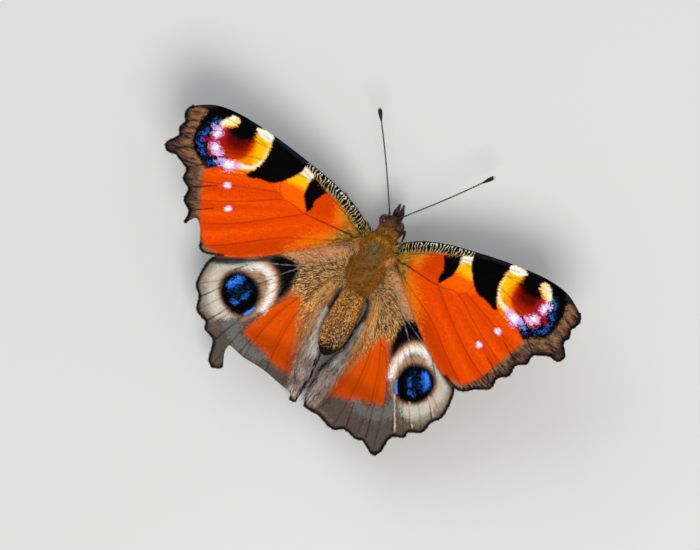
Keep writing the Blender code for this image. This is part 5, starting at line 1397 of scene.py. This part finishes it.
# %% Antennae
ANTENNA_SOCKET, ANTENNA_BASE = (0.52, 5.75, -1.45), (0.86, 6.55, -1.25)
ANTENNA_TIPS = {LEFT: (9.06, 18.13, -2.6), RIGHT: (9.14, 17.22, -2.6)}
ANTENNA_SAG, ANTENNA_RADIUS, CLUB_LENGTH, CLUB_RADIUS, SEGMENT = 0.9, 0.10, 2.1, 0.285, 0.36
for side, side_name in SIDES:
    base, tip = np.array(ANTENNA_BASE), np.array(ANTENNA_TIPS[side])
    length = np.linalg.norm(tip - base)
    share = np.linspace(0, 1, 330)
    spots = base + share[:, None] * (tip - base)
    spots[:, 2] -= ANTENNA_SAG * np.sin(pi * share)
    to_tip = (1 - share) * length
    radius = ANTENNA_RADIUS + (CLUB_RADIUS - ANTENNA_RADIUS) * rise(-to_tip, -CLUB_LENGTH, -0.35 * CLUB_LENGTH)
    radius *= np.sqrt(np.clip(1 - (1 - np.clip(to_tip / 0.55, 0, 1)) ** 2, 0.02, 1))
    radius += 0.045 * np.exp(-((share * length / 0.28) ** 2))
    radius *= 1 + 0.05 * np.cos(2 * pi * share * length / SEGMENT)
    spots, radius = np.vstack((ANTENNA_SOCKET, spots)), np.append(0.14, radius)
    length += np.linalg.norm(base - ANTENNA_SOCKET)
    antenna = limb(f"antenna_{side_name}_ringed", side, np.column_stack((spots, radius)))
    look = limb_material(f"antenna_{side_name}_chitin", (26, 21, 19), (186, 176, 156), 1 / SEGMENT, 0.26, (length - CLUB_LENGTH + 0.2, length - 0.15), (216, 180, 130))
    antenna.data.materials.append(look)
    finish_piece(antenna, "antenna", "antenna_" + side_name)
    print(antenna.name, round(length, 1), "mm,", len(antenna.data.polygons), "faces")

# %% Tongue
TONGUE_BASE, TONGUE_CENTRE = (0.0, 5.65, -4.07), (6.35, -5.45)
turns = 2.3 - 2 * pi * 1.1 * np.linspace(0, 1, 90)
reach = np.linspace(0.85, 0.17, 90)
coil = np.column_stack((0 * turns, TONGUE_CENTRE[0] + reach * np.cos(turns), TONGUE_CENTRE[1] + reach * np.sin(turns), np.linspace(0.15, 0.09, 90)))
tongue = limb("tongue_coil", LEFT, np.vstack(((*TONGUE_BASE, 0.17), coil)))
tongue.data.materials.append(limb_material("tongue_chitin", (46, 28, 18), (92, 62, 40), 9.0, 0.5, rough=0.3))
finish_piece(tongue, "proboscis", "proboscis")

# %% [markdown]
# The palps are two short brushes that point forward and up between the eyes. Their core is a
# limb, and their shape comes from the dark hair on it, greyer inside.

# %% Palps
PALP_PATH = [(0.34, 6.0, -3.4, 0.30), (0.35, 6.6, -3.2, 0.40), (0.36, 7.1, -2.85, 0.36), (0.30, 7.6, -2.55, 0.20), (0.24, 8.0, -2.3, 0.06)]
palp_fields = [("palp_tip", (22, 19, 19), 0.3, 0.8, 1.0, None), ("palp_inside", (134, 122, 122), 0.15, 0.9, 0.6, None)]
palp_look = body_material("palp_hair", (60, 45, 38), palp_fields, None)
palp_chance = np.random.default_rng(5)


def learn_palp(mesh, spots, side):
    store(mesh, "palp_tip", spots[:, 1] - 7.55)
    store(mesh, "palp_inside", 0.24 - side * spots[:, 0])


for side, side_name in SIDES:
    palp = limb(f"palp_{side_name}_core", side, smooth_line(PALP_PATH, 0.12))
    palp.data.materials.append(palp_look)
    corners = spots_of([tuple(corner.co) for corner in palp.data.vertices])
    learn_palp(palp.data, corners, side)
    store(palp.data, "lock", palp_chance.uniform(0, 1, len(corners)))
    store(palp.data, "tip", np.full(len(corners), 0.2))
    store(palp.data, "tuft", np.full(len(corners), 0.5))
    palp.data.calc_loop_triangles()
    triangles = np.array([tuple(triangle.vertices) for triangle in palp.data.loop_triangles])
    roots, normals = scatter(corners, triangles, 2200, palp_chance)
    flow = np.tile((-0.10 * side, 0.75, 0.55), (len(roots), 1))
    uv = np.column_stack((0.5 + 0.4 * side * (roots[:, 0] * side), (roots[:, 1] - 6.0) / 2.4))
    brush = grow(f"palp_{side_name}_coat", roots, normals, flow, 0.38 + 0 * roots[:, 0], 0.034, 0.45, 0.6, uv, palp_chance, 0.3)
    learn_palp(brush.data, np.repeat(roots, len(LOCK_POINTS), axis=0), side)
    brush.data.materials.append(palp_look)
    finish_piece(palp, "palp", "palp_" + side_name)
    finish_piece(brush, "palp")

# %% [markdown]
# ## Legs
# A butterfly of this family stands on four legs, and its forelegs are small brushes folded
# under the head. A walking leg has a thick thigh, a thin shin with spurs at its end, and a foot
# of five joints with two claws, which lies flat on the ground. The line is the CAD leg's own,
# with the real, thinner radii and a slight waist at each joint.

# %% Walking legs and brush legs
FOOT = -8.48
MIDLEG = [(1.5, 1.2, -5.55), (2.0, 1.4, -5.7), (5.2, 2.5, -4.6), (7.0, 4.1, -8.1), (7.6, 4.7, FOOT), (8.9, 6.1, FOOT)]
HINDLEG = [(1.5, -2.2, -5.6), (2.0, -2.5, -5.75), (5.3, -4.0, -4.6), (7.0, -7.4, -8.1), (7.3, -8.2, FOOT), (7.9, -10.2, FOOT)]
FORELEG = [(0.95, 4.1, -5.0, 0.24), (1.2, 5.0, -5.15, 0.17), (1.35, 5.1, -5.7, 0.14), (1.5, 3.9, -6.2, 0.08)]
LEG_RADII = [0.34, 0.36, 0.20, 0.13, 0.11, 0.09]
JOINTS_PER_MM, FLOOR_UP = 1.7, -8.7
leg_look = limb_material("leg_scales", (74, 58, 46), (142, 122, 98), 0.9, 0.18, rough=0.6)
spine_chance = np.random.default_rng(3)


def walking_leg(name, side, corners):
    corners = np.asarray(corners)
    line_spots = [corners[0]]
    radii = [LEG_RADII[0]]
    for start, end, thick, thin in zip(corners[:-1], corners[1:], LEG_RADII[:-1], LEG_RADII[1:]):
        steps = max(2, int(np.linalg.norm(end - start) / 0.12))
        share = np.linspace(0, 1, steps + 1)[1:]
        line_spots.extend(start + share[:, None] * (end - start))
        radii.extend(thick + share * (thin - thick))
    line_spots, radii = np.array(line_spots), np.array(radii)
    for _ in range(2):
        line_spots[1:-1] = (line_spots[:-2] + 2 * line_spots[1:-1] + line_spots[2:]) / 4
    run = np.concatenate(([0], np.cumsum(np.linalg.norm(np.diff(line_spots, axis=0), axis=1))))
    foot = rise(run, run[-1] - 2.6, run[-1] - 2.2)
    radii = radii * (1 + foot * 0.14 * np.cos(2 * pi * run * JOINTS_PER_MM))
    radii[-1] *= 0.4
    line_spots[:, 2] = np.maximum(line_spots[:, 2], FLOOR_UP + radii)
    leg = limb(name, side, np.column_stack((line_spots, radii)), 3)
    return leg, line_spots, radii, run


def spines(name, side, line_spots, radii, run, count, start):
    """Short spines that stand out from the shin and the foot."""
    at = start + (run[-1] - start - 0.1) * (np.arange(count) + 0.5) / count
    centre = np.column_stack([np.interp(at, run, line_spots[:, axis]) for axis in range(3)])
    heading = unit(np.column_stack([np.interp(at + 0.1, run, line_spots[:, axis]) for axis in range(3)]) - centre)
    turn = spine_chance.uniform(0, 2 * pi, count)
    beside = unit(np.cross(heading, (0, 0, 1)))
    normals = beside * np.cos(turn)[:, None] + np.cross(heading, beside) * np.sin(turn)[:, None]
    roots = centre + normals * np.interp(at, run, radii)[:, None] * 0.8
    roots[:, 0] *= side
    flow, normals = heading * (side, 1, 1), normals * (side, 1, 1)
    uv = np.column_stack((0.05 + 0.9 * at / run[-1], 0.1 + 0.8 * turn / (2 * pi)))
    piece = grow(name, roots, normals, flow, np.full(count, 0.24), 0.022, 0.5, 0.8, uv, spine_chance)
    store(piece.data, "run", np.repeat(at, len(LOCK_POINTS)))
    return piece


for side, side_name in SIDES:
    for kind, corners in (("midleg", MIDLEG), ("hindleg", HINDLEG)):
        leg, line_spots, radii, run = walking_leg(f"{kind}_{side_name}_jointed", side, corners)
        leg.data.materials.append(leg_look)
        finish_piece(leg, "leg", f"{kind}_{side_name}")
        bristle = spines(f"{kind}_{side_name}_spines", side, line_spots, radii, run, 260, 1.0)
        bristle.data.materials.append(leg_look)
        finish_piece(bristle, "leg")
    brush_line = smooth_line(FORELEG, 0.1)
    foreleg = limb(f"foreleg_{side_name}_core", side, brush_line, 3)
    foreleg.data.materials.append(leg_look)
    finish_piece(foreleg, "leg", f"foreleg_{side_name}")
    run = line_distance(brush_line[:, :3], brush_line[:, :3])[1]
    hair = spines(f"foreleg_{side_name}_brush", side, brush_line[:, :3], brush_line[:, 3], run, 500, 0.0)
    hair.data.materials.append(leg_look)
    finish_piece(hair, "leg")
